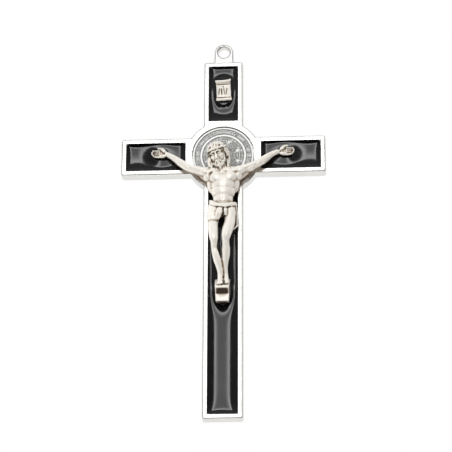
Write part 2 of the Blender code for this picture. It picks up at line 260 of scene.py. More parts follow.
def makeAntiqued(name, look):
    material, nodes, links, shader = newMaterial(name)
    coords = nodes.new("ShaderNodeTexCoord")
    cloud = noiseNode(nodes, links, coords, look["cloudScale"])
    grain = noiseNode(nodes, links, coords, look["grainScale"], 3)
    # the darkening is a random stain cloud plus the per-point concavity attribute, which holds patina and
    # painted shade
    patinaAndShade = nodes.new("ShaderNodeAttribute")
    patinaAndShade.attribute_name = "patinaAndShade"
    darkening = nodes.new("ShaderNodeMath")
    darkening.operation = "MULTIPLY_ADD"
    links.new(cloud.outputs["Fac"], darkening.inputs[0])
    darkening.inputs[1].default_value = look["darkening"]
    links.new(patinaAndShade.outputs["Fac"], darkening.inputs[2])
    depth = nodes.new("ShaderNodeMapRange")
    depth.inputs["From Min"].default_value = look["clean"]
    depth.inputs["From Max"].default_value = look["black"]
    links.new(darkening.outputs["Value"], depth.inputs["Value"])
    dull = (look["dull"] - look["clean"]) / (look["black"] - look["clean"])
    tone = rampNode(nodes, links, depth.outputs["Result"],
                    [(0.0, look["bright"]), (dull, look["mid"]), (1.0, look["dark"])])
    rough = rampNode(nodes, links, depth.outputs["Result"],
                     [(0.0, grey(look["roughLow"])), (1.0, grey(look["roughHigh"]))])
    bump = bumpNode(nodes, links, grain, look["bump"], 0.04 * mm)
    wireShader(links, shader, tone, rough, bump)
    shader.inputs["Metallic"].default_value = look["metal"]
    return material


corpusLook = {
    "bright": (0.97, 0.935, 0.865), "mid": (0.42, 0.33, 0.24), "dark": (0.045, 0.031, 0.019),
    "clean": 0.53, "dull": 0.82, "black": 1.14, "darkening": 0.12, "cloudScale": 900, "grainScale": 5200,
    "roughLow": 0.30, "roughHigh": 0.58, "bump": 0.10, "metal": 0.36,
}
medalLook = {
    "bright": (0.95, 0.955, 0.945), "mid": (0.40, 0.41, 0.40), "dark": (0.08, 0.078, 0.072),
    "clean": 0.54, "dull": 0.80, "black": 1.10, "darkening": 0.18, "cloudScale": 700, "grainScale": 5200,
    "roughLow": 0.32, "roughHigh": 0.60, "bump": 0.10, "metal": 0.55,
}
enamelLook = {
    "black": (0.0015, 0.0015, 0.0016), "grey": (0.004, 0.004, 0.0042), "cloudScale": 220,
    "roughLow": 0.06, "roughHigh": 0.10, "waveScale": 90, "bump": 0.15, "ior": 1.7,
}


def makeEnamel():
    material, nodes, links, shader = newMaterial("blackEnamel")
    coords = nodes.new("ShaderNodeTexCoord")
    cloud = noiseNode(nodes, links, coords, enamelLook["cloudScale"], 3)
    wave = noiseNode(nodes, links, coords, enamelLook["waveScale"], 1)
    rough = rampNode(nodes, links, cloud.outputs["Fac"],
                     [(0.35, grey(enamelLook["roughLow"])), (0.7, grey(enamelLook["roughHigh"]))])
    tone = rampNode(nodes, links, cloud.outputs["Fac"],
                    [(0.3, enamelLook["black"]), (0.8, enamelLook["grey"])])
    bump = bumpNode(nodes, links, wave, enamelLook["bump"], 0.04 * mm)
    wireShader(links, shader, tone, rough, bump)
    shader.inputs["IOR"].default_value = enamelLook["ior"]
    return material


platedMetal = makePlated()
antiquedSilver = makeAntiqued("antiquedSilver", corpusLook)
medalSilver = makeAntiqued("medalSilver", medalLook)
blackEnamel = makeEnamel()
print("materials ready")


def dress(item, material, slot, *nodes):
    item.data.materials.clear()
    item.data.materials.append(material)
    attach(item, "root")
    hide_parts(*nodes)


# Cross body

crossBody = {
    "cornerRadius": 0.8 * mm, "cornerSteps": 8, "hubSteps": 12, "limbWidth": 12.5 * mm,
    "hubWall": 2.3 * mm, "rim": 1.55 * mm, "pocketDepth": 1.3 * mm, "seatDepth": 1.4 * mm,
    "seatGap": 0.3 * mm, "shaftRise": 32.8 * mm, "outerRound": 0.46 * mm, "pocketRound": 0.09 * mm,
    "loopThickness": 2.5 * mm, "loopHole": 1.8 * mm, "loopSide": 3.1 * mm, "loopTop": 3.0 * mm,
    "loopFlare": 0.6 * mm, "loopRound": 0.5 * mm, "loopTuck": 1.2 * mm,
}
medalRadius = medalHigh[0]
hubRadius = medalRadius + crossBody["hubWall"]
armReach = plateHigh[0]
shaftTop = crossingZ + crossBody["shaftRise"]
shaftFoot = plateLow[2]


def arcPoints(centreX, centreZ, radius, start, end, steps):
    angles = [math.radians(start + (end - start) * step / steps) for step in range(steps + 1)]
    return [(centreX + radius * math.cos(angle), centreZ + radius * math.sin(angle)) for angle in angles]


def crossOutline():
    half = crossBody["limbWidth"] / 2
    corner = crossBody["cornerRadius"]
    meet = math.degrees(math.asin(half / hubRadius))
    outline = []
    for quarter, reach in enumerate((armReach, shaftTop - crossingZ, armReach, crossingZ - shaftFoot)):
        upper = arcPoints(reach - corner, half - corner, corner, 0, 90, crossBody["cornerSteps"])
        limb = [(x, -z) for x, z in reversed(upper)] + upper
        limb += arcPoints(0, 0, hubRadius, meet, 90 - meet, crossBody["hubSteps"])
        cosine, sine = math.cos(math.pi / 2 * quarter), math.sin(math.pi / 2 * quarter)
        outline += [(x * cosine - z * sine, x * sine + z * cosine + crossingZ) for x, z in limb]
    return outline


def plateFrom(outline, back, thickness, name):
    bpy.ops.object.select_all(action="DESELECT")
    bpy.ops.mesh.primitive_circle_add(vertices=len(outline), radius=1, fill_type="NGON")
    item = bpy.context.active_object
    item.name = name
    for vertex, (x, z) in zip(item.data.vertices, outline):
        vertex.co = (x, back, z)
    bpy.ops.object.mode_set(mode="EDIT")
    bpy.ops.mesh.select_all(action="SELECT")
    bpy.ops.mesh.extrude_region_move(TRANSFORM_OT_translate={"value": (0, -thickness, 0)})
    faceOutwards()
    return item


def boxCutter(low, high):
    bpy.ops.object.select_all(action="DESELECT")
    middle = [(a + b) / 2 for a, b in zip(low, high)]
    size = [b - a for a, b in zip(low, high)]
    bpy.ops.mesh.primitive_cube_add(size=1, location=middle, scale=size)
    return bpy.context.active_object


def roundCutter(radius, back, face, x, z, sides=128):
    bpy.ops.object.select_all(action="DESELECT")
    bpy.ops.mesh.primitive_cylinder_add(vertices=sides, radius=radius, depth=back - face,
                                        location=(x, (back + face) / 2, z), rotation=(math.pi / 2, 0, 0))
    return bpy.context.active_object


def combine(item, other, operation):
    addModifier(item, "BOOLEAN", operation=operation, solver="EXACT", object=other)
    applyModifiers(item)
    bpy.data.objects.remove(other, do_unlink=True)


def roundFrontEdges(body):
    soloSelect(body)
    bpy.ops.object.mode_set(mode="EDIT")
    bpy.ops.mesh.select_mode(type="EDGE")
    bpy.ops.mesh.select_all(action="DESELECT")
    bpy.ops.mesh.edges_select_sharp(sharpness=math.radians(60))
    bpy.ops.object.mode_set(mode="OBJECT")
    mesh = body.data
    for edge in mesh.edges:
        ends = [mesh.vertices[index].co.y for index in edge.vertices]
        if max(abs(y - frontY) for y in ends) > 1e-6:
            edge.select = False
    bpy.ops.object.mode_set(mode="EDIT")
    bpy.ops.mesh.bevel(offset=crossBody["pocketRound"], segments=2)
    bpy.ops.mesh.select_mode(type="VERT")
    bpy.ops.object.mode_set(mode="OBJECT")


def panelSpans():
    half = crossBody["limbWidth"] / 2 - crossBody["rim"]
    arm = armReach - crossBody["rim"]
    top = shaftTop - crossBody["rim"]
    foot = shaftFoot + crossBody["rim"]
    return {
        "top": (-half, half, crossingZ + hubRadius, top),
        "bottom": (-half, half, foot, crossingZ - hubRadius),
        "left": (-arm, -hubRadius, crossingZ - half, crossingZ + half),
        "right": (hubRadius, arm, crossingZ - half, crossingZ + half),
    }


def makeCrossBody():
    outside = frontY - 2 * mm
    body = plateFrom(crossOutline(), 0, -frontY, "crossBody")
    half, top = crossBody["loopSide"], crossBody["loopTop"]
    foot = shaftTop - crossBody["loopTuck"]
    wide = half + crossBody["loopFlare"]
    right = [(wide, foot), (wide, shaftTop + 0.3 * mm),         # the tab flares where it meets the shaft
             (half + 0.2 * mm, shaftTop + 0.9 * mm), (half, shaftTop + 1.9 * mm)]
    bow = arcPoints(0, top - half, half, 0, 180, 40)
    left = [(-x, z) for x, z in reversed(right)]
    tab = plateFrom(right + bow + left, 0, crossBody["loopThickness"], "tab")
    combine(tab, roundCutter(crossBody["loopHole"], 1 * mm, outside, 0, 0, 64), "DIFFERENCE")
    for piece, width in ((tab, crossBody["loopRound"]), (body, crossBody["outerRound"])):
        addModifier(piece, "BEVEL", width=width, segments=5, limit_method="ANGLE",
                    angle_limit=math.radians(50), use_clamp_overlap=False)
        applyModifiers(piece)
    combine(body, tab, "UNION")
    deep = frontY + crossBody["pocketDepth"]
    for lowX, highX, lowZ, highZ in panelSpans().values():
        combine(body, boxCutter((lowX, outside, lowZ), (highX, deep, highZ)), "DIFFERENCE")
    seatFloor = frontY + crossBody["seatDepth"]
    seat = roundCutter(medalRadius + crossBody["seatGap"], seatFloor, outside, 0, crossingZ)
    combine(body, seat, "DIFFERENCE")
    roundFrontEdges(body)
    smoothShade(body, 35)
    addModifier(body, "WEIGHTED_NORMAL", keep_sharp=True, weight=90)
    applyModifiers(body)
    dress(body, platedMetal, "plated_metal", "cross_body")
    return body


makeCrossBody()
print("cross body ready")


# Enamel

enamel = {
    "level": 0.66 * mm, "rimGap": 0.05 * mm, "spread": 2.0 * mm, "lipShare": 0.28,
    "lipSpread": 0.35 * mm, "corner": 1.8, "step": 0.2 * mm, "ceiling": 9,
    "postShare": 0.85, "postSpread": 1.1 * mm, "tuck": 0.02 * mm,
    "shaftOnly": 7 * mm, "legRim": 0.45 * mm, "legShare": 0.95, "legSpread": 2.2 * mm,
    "handShare": 0.95, "handSpread": 4.6 * mm, "handTall": 5.2 * mm, "handRise": 0.3 * mm,
}
posts = [                                # what the resin climbs: centre x, z, half width, half height
    (0.1 * mm, 22.1 * mm, 2.5 * mm, 4.3 * mm),        # scroll
    (0.0 * mm, -45.6 * mm, 2.5 * mm, 4.4 * mm),       # foot bracket
]
hands = [-19.6 * mm, 19.5 * mm]                       # the resin swells across the arm at each hand
legPaths = [                                          # along the legs: x, z from the crossing, in mm
    [(-2.8, -20.0), (-2.5, -30.0), (-2.0, -34.0), (-0.7, -42.0)],
    [(2.4, -20.0), (1.3, -29.5), (1.1, -34.0), (1.1, -42.0)],
]


def climb(away):
    away = np.maximum(away, 0)
    wide = np.exp(-away / enamel["spread"])
    return wide + enamel["lipShare"] * (np.exp(-away / enamel["lipSpread"]) - wide)


def resinRise(x, z, span):
    lowX, highX, lowZ, highZ = span
    corner = enamel["corner"]
    total = np.zeros_like(x)
    beside = bandOf((z - crossingZ) / mm, -43.5, -12, 3) * (np.abs(x) < enamel["shaftOnly"])
    for away in (x - lowX, highX - x, z - lowZ, highZ - z):
        steep = np.exp(-np.maximum(away, 0) / enamel["legRim"])
        total += (climb(away) * (1 - beside) + beside * steep) ** corner
    flat = np.column_stack((x / mm, (z - crossingZ) / mm))
    away = np.minimum(*[pathDistance(flat, path) for path in legPaths]) * mm
    total += (beside * enamel["legShare"] * np.exp(-away / enamel["legSpread"])) ** corner
    for centreX, centreZ, halfX, halfZ in posts:
        ring = np.hypot((x - centreX) / halfX, (z - crossingZ - centreZ) / halfZ) - 1
        steep = np.exp(-np.maximum(ring, 0) * halfX / enamel["postSpread"])
        total += (enamel["postShare"] * steep) ** corner
    for centreX in hands:
        away = np.hypot((x - centreX) / enamel["handSpread"],
                        (z - crossingZ - enamel["handRise"]) / enamel["handTall"])
        total += (enamel["handShare"] * np.exp(-away ** 1.5)) ** corner
    climbed = total ** (1 / corner)
    limit = (1 + climbed ** enamel["ceiling"]) ** (1 / enamel["ceiling"])    # never past the rims
    return (enamel["level"] - enamel["rimGap"]) * climbed / limit


def makeEnamelPanel(side, span):
    lowX, highX, lowZ, highZ = span
    columns = round((highX - lowX) / enamel["step"])
    rows = round((highZ - lowZ) / enamel["step"])
    bpy.ops.object.select_all(action="DESELECT")
    bpy.ops.mesh.primitive_grid_add(x_subdivisions=columns, y_subdivisions=rows, size=1)
    panel = bpy.context.active_object
    panel.name = "enamel" + side.capitalize()
    points = readPoints(panel.data)
    tuck = enamel["tuck"]
    x = (lowX - tuck) + (points[:, 0] + 0.5) * (highX - lowX + 2 * tuck)
    z = (lowZ - tuck) + (points[:, 1] + 0.5) * (highZ - lowZ + 2 * tuck)
    y = frontY + enamel["level"] - resinRise(x, z, span)
    writePoints(panel.data, np.column_stack((x, y, z)))
    bpy.ops.object.mode_set(mode="EDIT")
    bpy.ops.mesh.select_all(action="DESELECT")
    bpy.ops.mesh.select_non_manifold()
    bpy.ops.mesh.extrude_edges_move(TRANSFORM_OT_translate={"value": (0, 0, 0)})
    bpy.ops.object.mode_set(mode="OBJECT")
    floor = frontY + crossBody["pocketDepth"]
    for vertex in panel.data.vertices:
        if vertex.select:
            vertex.co.y = floor
    bpy.ops.object.mode_set(mode="EDIT")
    bpy.ops.mesh.edge_face_add()
    faceOutwards()
    smoothShade(panel, 40)
    dress(panel, blackEnamel, "black_enamel", "enamel_" + side)
    return panel


for sideName, panelSpan in panelSpans().items():
    makeEnamelPanel(sideName, panelSpan)
print("enamel ready")


# Medal

medal = {
    "turns": 480, "rings": 118, "border": 0.62 * mm, "ringRadius": 6.95 * mm, "ringHalf": 0.34 * mm,
    "relief": 0.17 * mm, "strokeHeight": 0.13 * mm, "motifHeight": 0.16 * mm, "motifReach": 5.5 * mm,
    "strokes": 52, "innerStrokes": 40, "armCell": 0.95 * mm,
}


def strokeBand(angle, radius, low, high, count, seed):
    cell = angle / math.tau * count
    index = np.floor(cell).astype(int) % count
    across = cell - np.floor(cell)
    up = (radius - low) / (high - low)
    inside = bandOf(up, 0.12, 0.88, 0.1)
    draw = np.random.default_rng(seed).integers(0, 5, count)[index]
    left = bandOf(across, 0.18, 0.36, 0.1)
    right = bandOf(across, 0.60, 0.78, 0.1)
    middle = bandOf(up, 0.42, 0.58, 0.08) * bandOf(across, 0.18, 0.78, 0.1)
    topBar = bandOf(up, 0.74, 0.90, 0.06) * bandOf(across, 0.18, 0.78, 0.1)
    lowBar = bandOf(up, 0.10, 0.26, 0.06) * bandOf(across, 0.18, 0.78, 0.1)
    shapes = [np.maximum(left, right), np.maximum(left, topBar), np.maximum(right, lowBar),
              np.maximum(left, middle), np.maximum(topBar, lowBar)]
    return np.choose(draw, shapes) * inside


def strokeRow(along, across, cell, half):
    index = np.floor(along / cell).astype(int)
    share = along / cell - index
    upright = bandOf(share, 0.16, 0.38, 0.1)
    other = bandOf(share, 0.6, 0.82, 0.1)
    bar = bandOf(across / half, -0.2, 0.2, 0.2) * bandOf(share, 0.16, 0.82, 0.1)
    shapes = [np.maximum(upright, bar), np.maximum(upright, other), np.maximum(bar, other)]
    shape = np.choose(index % 3, shapes)
    return shape * (1 - softStep(np.abs(across), half, 0.08 * mm))


def medalHeight(x, z):
    radius = np.hypot(x, z)
    angle = np.arctan2(x, z) % math.tau
    edge = medalRadius - medal["border"]
    height = np.zeros_like(radius)
    height += medal["relief"] * softStep(radius, edge, 0.12 * mm)
    ringLow, ringHigh = medal["ringRadius"] - medal["ringHalf"], medal["ringRadius"] + medal["ringHalf"]
    height += medal["relief"] * bandOf(radius, ringLow, ringHigh, 0.12 * mm)
    outerLow, outerHigh = ringHigh + 0.15 * mm, edge - 0.15 * mm
    cartouche = np.minimum(angle, math.tau - angle) < 0.42
    letters = strokeBand(angle, radius, outerLow, outerHigh, medal["strokes"], 3) * ~cartouche
    innerLine = bandOf(radius, outerLow + 0.2 * mm, outerLow + 0.42 * mm, 0.08 * mm)
    outerLine = bandOf(radius, outerHigh - 0.42 * mm, outerHigh - 0.2 * mm, 0.08 * mm)
    plaque = cartouche * np.maximum(innerLine, outerLine)
    bars = bandOf(np.minimum(angle, math.tau - angle), 0.36, 0.40, 0.02)
    bars *= bandOf(radius, outerLow + 0.2 * mm, outerHigh - 0.2 * mm, 0.08 * mm)
    height += medal["strokeHeight"] * np.maximum(letters, np.maximum(plaque, bars))
    height += medalMotif(x, z, radius, angle)
    return height


def medalMotif(x, z, radius, angle):
    inside = 1 - softStep(radius, medal["motifReach"], 0.12 * mm)
    along = np.maximum(np.abs(x), np.abs(z))
    across = np.minimum(np.abs(x), np.abs(z))
    halfWidth = 0.62 * mm + 0.16 * np.maximum(along - 1.2 * mm, 0)
    arms = 1 - softStep(across, halfWidth, 0.1 * mm)
    frame = bandOf(across, halfWidth - 0.2 * mm, halfWidth, 0.08 * mm)
    cap = bandOf(along, medal["motifReach"] - 0.45 * mm, medal["motifReach"] - 0.2 * mm, 0.08 * mm) * arms
    sign = np.where(np.abs(x) > np.abs(z), z, x)
    marks = strokeRow(along, sign, medal["armCell"], halfWidth - 0.32 * mm) * (along < 4.7 * mm)
    awayX, awayZ = np.abs(x) - 2.75 * mm, np.abs(z) - 2.75 * mm
    quarter = np.hypot(awayX, awayZ)
    loop = bandOf(quarter, 0.95 * mm, 1.12 * mm, 0.08 * mm)
    mark = bandOf(np.abs(awayX + 0.25 * awayZ * np.sign(x * z)), 0.22 * mm, 0.4 * mm, 0.08 * mm)
    mark = np.maximum(mark, bandOf(np.abs(awayZ), -0.1 * mm, 0.1 * mm, 0.08 * mm))
    mark *= 1 - softStep(quarter, 0.7 * mm, 0.1 * mm)
    ray = bandOf(np.abs(np.abs(x) - np.abs(z)), -0.1 * mm, 0.09 * mm, 0.08 * mm)
    ray *= (radius > 5.1 * mm) * inside
    turn = np.arctan2(awayX, awayZ) % math.tau
    beads = strokeBand(turn, quarter, 1.22 * mm, 1.75 * mm, 12, 21) * (1 - arms)
    loop = np.maximum(loop, beads)
    small = strokeBand(angle, radius, 5.5 * mm, 6.4 * mm, medal["innerStrokes"], 11)
    drawn = np.maximum(np.maximum(frame, cap), marks) * inside
    drawn = np.maximum(drawn, np.maximum(loop, mark) * (1 - arms) * inside)
    return medal["motifHeight"] * np.maximum(drawn, np.maximum(ray, 0.85 * small))


def medalEdgePatinaAndShade(points, normals):
    # painted shade in the gap round the medal, partly patina: the outer rim is darkened
    radius = np.hypot(points[:, 0], points[:, 2] - crossingZ)
    return 1.3 * softStep(radius, medalRadius - 0.1 * mm, 0.06 * mm)


def makeMedal():
    back, face = medalHigh[1], medalLow[1]
    ground = face + medal["relief"]
    bpy.ops.object.select_all(action="DESELECT")
    bpy.ops.mesh.primitive_circle_add(vertices=medal["turns"], radius=medalRadius, fill_type="NOTHING",
                                      location=(0, 0, 0), rotation=(math.pi / 2, 0, 0))
    item = bpy.context.active_object
    item.name = "medalDisc"
    applyPlace(item)
    bpy.ops.object.mode_set(mode="EDIT")
    bpy.ops.mesh.select_all(action="SELECT")
    for ring in range(medal["rings"] - 1):
        share = 1 - 1 / (medal["rings"] - ring)
        bpy.ops.mesh.extrude_edges_move(TRANSFORM_OT_translate={"value": (0, 0, 0)})
        bpy.ops.transform.resize(value=(share, 1, share), center_override=(0, 0, 0))
    bpy.ops.mesh.edge_face_add()
    bpy.ops.object.mode_set(mode="OBJECT")
    mesh = item.data
    points = readPoints(mesh)
    height = medalHeight(points[:, 0], points[:, 2])
    radius = np.hypot(points[:, 0], points[:, 2])
    roll = np.clip((radius - (medalRadius - 0.12 * mm)) / (0.12 * mm), 0, 1) ** 2 * 0.12 * mm
    points[:, 1] = ground - height + roll
    points[:, 2] += crossingZ
    writePoints(mesh, points)
    bpy.ops.object.mode_set(mode="EDIT")
    bpy.ops.mesh.select_all(action="DESELECT")
    bpy.ops.mesh.select_non_manifold()
    bpy.ops.mesh.extrude_edges_move(TRANSFORM_OT_translate={"value": (0, 0, 0)})
    bpy.ops.object.mode_set(mode="OBJECT")
    for vertex in mesh.vertices:
        if vertex.select:
            vertex.co.y = back
    bpy.ops.object.mode_set(mode="EDIT")
    bpy.ops.mesh.edge_face_add()
    faceOutwards()
    markPatinaAndShade(item, [(3, 0.025 * mm, 1.3), (12, 0.12 * mm, 1)], medalEdgePatinaAndShade)
    smoothShade(item, 50)
    dress(item, medalSilver, "medal_silver", "medal")
    return item


makeMedal()
print("medal ready")


# Scroll

scrollLow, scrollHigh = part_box("scroll")
scroll = {
    "width": 4.75 * mm, "height": 7.4 * mm, "lean": math.radians(3), "waist": 0.12 * mm,
    "rollRadius": 0.52 * mm, "rollTurn": 4.6, "flatShare": 0.74, "sheet": 0.28 * mm,
    "across": 70, "along": 150, "stroke": 0.12 * mm, "markCell": 0.78 * mm, "markDarkening": 2.6,
}


def scrollMarks(x, z):
    tall = bandOf(z, -1.35 * mm, 0.75 * mm, 0.12 * mm) * (np.abs(x) < 1.7 * mm)
    small = bandOf(z, 1.2 * mm, 1.75 * mm, 0.12 * mm) * (np.abs(x) < 0.45 * mm)
    cell = x / scroll["markCell"] + 20.2
    index = np.floor(cell).astype(int)
    lean = (index % 3 - 1) * 0.22
    upright = bandOf(cell - index + lean * z / mm, 0.22, 0.66, 0.12)
    # dark lines just inside the rolls: shallow grooves, darkened as painted shadow under the rolls
    lines = bandOf(np.abs(z + 0.1 * mm), 2.2 * mm, 2.55 * mm, 0.12 * mm) * (np.abs(x) < 2.1 * mm)
    return np.maximum(upright * np.maximum(tall, small), 0.8 * lines)


# darkens the letters (patina) and the lines inside the rolls (painted shadow)
def scrollPatinaAndShade(points, normals):
    return scroll["markDarkening"] * scrollMarks(points[:, 0], points[:, 2]) * (normals[:, 1] < -0.2)


def makeScroll():
    bpy.ops.object.select_all(action="DESELECT")
    bpy.ops.mesh.primitive_grid_add(x_subdivisions=scroll["across"], y_subdivisions=scroll["along"],
                                    size=1)
    item = bpy.context.active_object
    item.name = "titleScroll"
    points = readPoints(item.data)
    acrossShare = points[:, 0] * 2
    share = points[:, 1] * 2
    flat = scroll["flatShare"]                      # past this share the sheet curls into a roll
    turn = np.clip((np.abs(share) - flat) / (1 - flat), 0, 1) * scroll["rollTurn"]
    radius = scroll["rollRadius"] * (1 - 0.05 * turn)
    halfFlat = scroll["height"] / 2 - scroll["rollRadius"]
    z = np.where(turn > 0, np.sign(share) * (halfFlat + radius * np.sin(turn)), share / flat * halfFlat)
    y = np.where(turn > 0, -radius * (1 - np.cos(turn)), 0)
    waist = scroll["waist"] * np.cos(np.clip(share, -1, 1) * math.pi / 2)
    x = acrossShare * (scroll["width"] / 2 - waist + 0.10 * mm * (turn > 0))
    y = y - 0.16 * mm * np.abs(acrossShare) ** 3 + 0.10 * mm * np.sin(share * 2.4 + acrossShare)
    z = z + np.where(share > 0, 0.28, -0.12) * mm * np.maximum(acrossShare, 0) ** 3 * np.abs(share) ** 2
    y = y + scroll["stroke"] * scrollMarks(x, z) * (turn <= 0)
    writePoints(item.data, np.column_stack((x, y, z)))
    addModifier(item, "SOLIDIFY", thickness=scroll["sheet"], offset=1)
    applyModifiers(item)
    markPatinaAndShade(item, [(3, 0.04 * mm, 0.7), (14, 0.15 * mm, 0.7)], scrollPatinaAndShade)
    item.rotation_euler = (0, -scroll["lean"], 0)
    middle = (scrollLow[2] + scrollHigh[2]) / 2
    item.location = ((scrollLow[0] + scrollHigh[0]) / 2, scrollHigh[1] - 0.3 * mm, middle)
    applyPlace(item)
    faceOutwards()
    smoothShade(item, 50)
    dress(item, antiquedSilver, "antiqued_silver", "scroll")
    return item


makeScroll()
print("scroll ready")


# Corpus

corpus = {
    "bodyVoxel": 0.24 * mm, "fineVoxel": 0.15 * mm, "bodySmooth": 9, "fineSmooth": 2,
    "most": 196000, "standoff": 0.4 * mm,
}


def figurePoint(place):
    return Vector((place[0] * mm, frontY + place[1] * mm, crossingZ + place[2] * mm))


def blob(place, radii, turn=(0, 0, 0), spin=None):
    bpy.ops.object.select_all(action="DESELECT")
    bpy.ops.mesh.primitive_uv_sphere_add(segments=24, ring_count=14, radius=mm,
                                         location=figurePoint(place))
    item = bpy.context.active_object
    angles = Euler([math.radians(angle) for angle in turn]).to_matrix()
    item.rotation_euler = (spin @ angles if spin else angles).to_euler()
    item.scale = radii
    return item


def tube(stations, caps=True):
    curve = bpy.data.curves.new("tube", "CURVE")
    curve.dimensions = "3D"
    curve.bevel_depth = mm
    curve.bevel_resolution = 3
    curve.resolution_u = 6
    curve.use_fill_caps = True
    spline = curve.splines.new("BEZIER")
    spline.bezier_points.add(len(stations) - 1)
    for point, station in zip(spline.bezier_points, stations):
        point.co = figurePoint(station)
        point.handle_left_type = point.handle_right_type = "AUTO"
        point.radius = station[3]
    item = bpy.data.objects.new("tube", curve)
    scene.collection.objects.link(item)
    made = [item]
    if caps:
        for end in (stations[0], stations[-1]):
            made.append(blob(end[:3], (end[3],) * 3))
    return made


headPose = {"centre": Vector((-1.36, -3.15, -1.05)), "unit": 1.06, "roll": -14, "yaw": -16, "pitch": 11}
headTurn = (Matrix.Rotation(math.radians(headPose["roll"]), 3, "Y")
            @ Matrix.Rotation(math.radians(headPose["yaw"]), 3, "Z")
            @ Matrix.Rotation(math.radians(headPose["pitch"]), 3, "X"))


def onHead(place):
    return headPose["centre"] + headTurn @ Vector(place[:3]) * headPose["unit"]


def headBlob(place, radii, turn=(0, 0, 0)):
    return blob(onHead(place), [radius * headPose["unit"] for radius in radii], turn, headTurn)


def headTube(stations, caps=True):
    return tube([(*onHead(station), station[3] * headPose["unit"]) for station in stations], caps=caps)


def bodyMasses():
    parts = [
        blob((0.25, -2.75, -10.9), (4.2, 2.3, 4.9)),                     # rib cage
        blob((0.22, -2.8, -13.4), (3.85, 2.2, 3.6)),                     # lower ribs
        blob((-1.9, -3.75, -9.1), (2.3, 1.1, 2.2), (0, 10, 0)),          # chest muscles
        blob((2.3, -3.75, -8.9), (2.3, 1.1, 2.2), (0, -10, 0)),
        blob((0.2, -2.8, -15.9), (3.15, 2.05, 4.2)),                     # belly
        blob((0.2, -3.0, -19.6), (4.1, 2.35, 2.9)),                      # hips
    ]
    for side in (-1, 1):
        parts.append(blob((side * 4.0 + 0.2, -2.3, -10.6), (1.2, 1.5, 3.4), (0, side * 6, 0)))
        parts += tube([(side * 3.9, -2.4, -10.2, 1.0), (side * 5.6, -2.4, -8.6, 0.95),      # armpit
                       (side * 7.4, -2.3, -7.0, 0.8)])
    parts += tube([(-0.6, -3.1, -6.6, 1.55), (-3.0, -2.9, -7.0, 1.6), (-5.5, -2.7, -6.9, 1.75),
                   (-8.2, -2.4, -6.0, 1.5), (-11.1, -2.2, -4.8, 1.35), (-13.3, -2.0, -3.2, 1.3),
                   (-15.6, -1.7, -1.3, 1.0), (-17.7, -1.5, 0.1, 0.8)])
    parts += tube([(0.6, -3.1, -6.6, 1.55), (3.0, -2.9, -6.8, 1.6), (5.4, -2.7, -6.5, 1.7),
                   (8.2, -2.4, -5.4, 1.5), (11.0, -2.2, -4.0, 1.35), (13.2, -2.0, -2.5, 1.3),
                   (15.4, -1.7, -0.8, 1.0), (17.3, -1.5, 0.2, 0.8)])
    parts += tube([(0.0, -2.9, -7.4, 1.75), (-0.6, -3.3, -4.4, 1.65)])   # neck
    parts += tube([(-2.35, -3.1, -20.0, 1.9), (-2.8, -3.9, -24.4, 1.68), (-2.75, -4.6, -27.4, 1.6),
                   (-2.5, -5.1, -29.9, 1.42), (-2.4, -5.1, -31.4, 1.08), (-2.45, -4.5, -32.8, 0.93),
                   (-2.0, -4.2, -34.8, 1.16), (-1.45, -3.9, -36.9, 1.22), (-0.95, -3.6, -38.8, 1.05),
                   (-0.6, -3.4, -40.4, 0.92), (-0.55, -3.3, -41.6, 0.9)])
    parts += tube([(2.2, -3.1, -20.0, 1.9), (2.45, -3.8, -23.8, 1.7), (1.75, -4.6, -27.0, 1.76),
                   (1.35, -5.15, -29.0, 1.55), (1.2, -5.2, -30.3, 1.25), (1.2, -4.6, -31.6, 1.15),
                   (1.25, -4.1, -33.4, 1.35), (1.2, -3.7, -35.4, 1.25), (1.0, -3.3, -37.4, 1.02),
                   (1.0, -3.0, -39.4, 0.82), (1.15, -2.8, -41.3, 0.78)])
    parts += tube([(-0.6, -3.3, -41.3, 0.85), (-0.6, -3.9, -43.4, 0.75)])
    parts += tube([(-0.5, -2.0, -41.8, 0.8), (-0.55, -3.2, -42.9, 0.95), (-0.6, -4.2, -44.3, 0.75)])
    parts += tube([(1.15, -2.7, -41.0, 0.75), (1.4, -3.3, -43.0, 0.7)])
    parts += tube([(1.2, -2.0, -41.8, 0.7), (1.4, -3.1, -43.0, 0.8), (1.5, -4.0, -44.1, 0.6)])
    return parts


def muscleMasses():
    parts = [
        blob((-2.35, -5.85, -30.9), (0.8, 0.5, 0.85)), blob((1.2, -6.0, -29.9), (0.85, 0.5, 0.95)),
        blob((-4.6, -3.0, -8.6), (1.5, 1.35, 1.7)), blob((4.8, -3.0, -8.3), (1.5, 1.35, 1.7)),
    ]
    for side, lift in ((-1, -0.35), (1, 0.0)):
        parts.append(blob((side * 5.6, -3.1, -6.6 + lift), (1.75, 1.35, 1.5), (0, side * 25, 0)))
        parts.append(blob((side * 8.6, -2.6, -5.7 + lift), (2.3, 1.25, 1.2), (0, -side * 25, 0)))
        parts.append(blob((side * 12.6, -2.1, -3.2 + lift), (2.1, 1.15, 1.15), (0, -side * 38, 0)))
    return parts


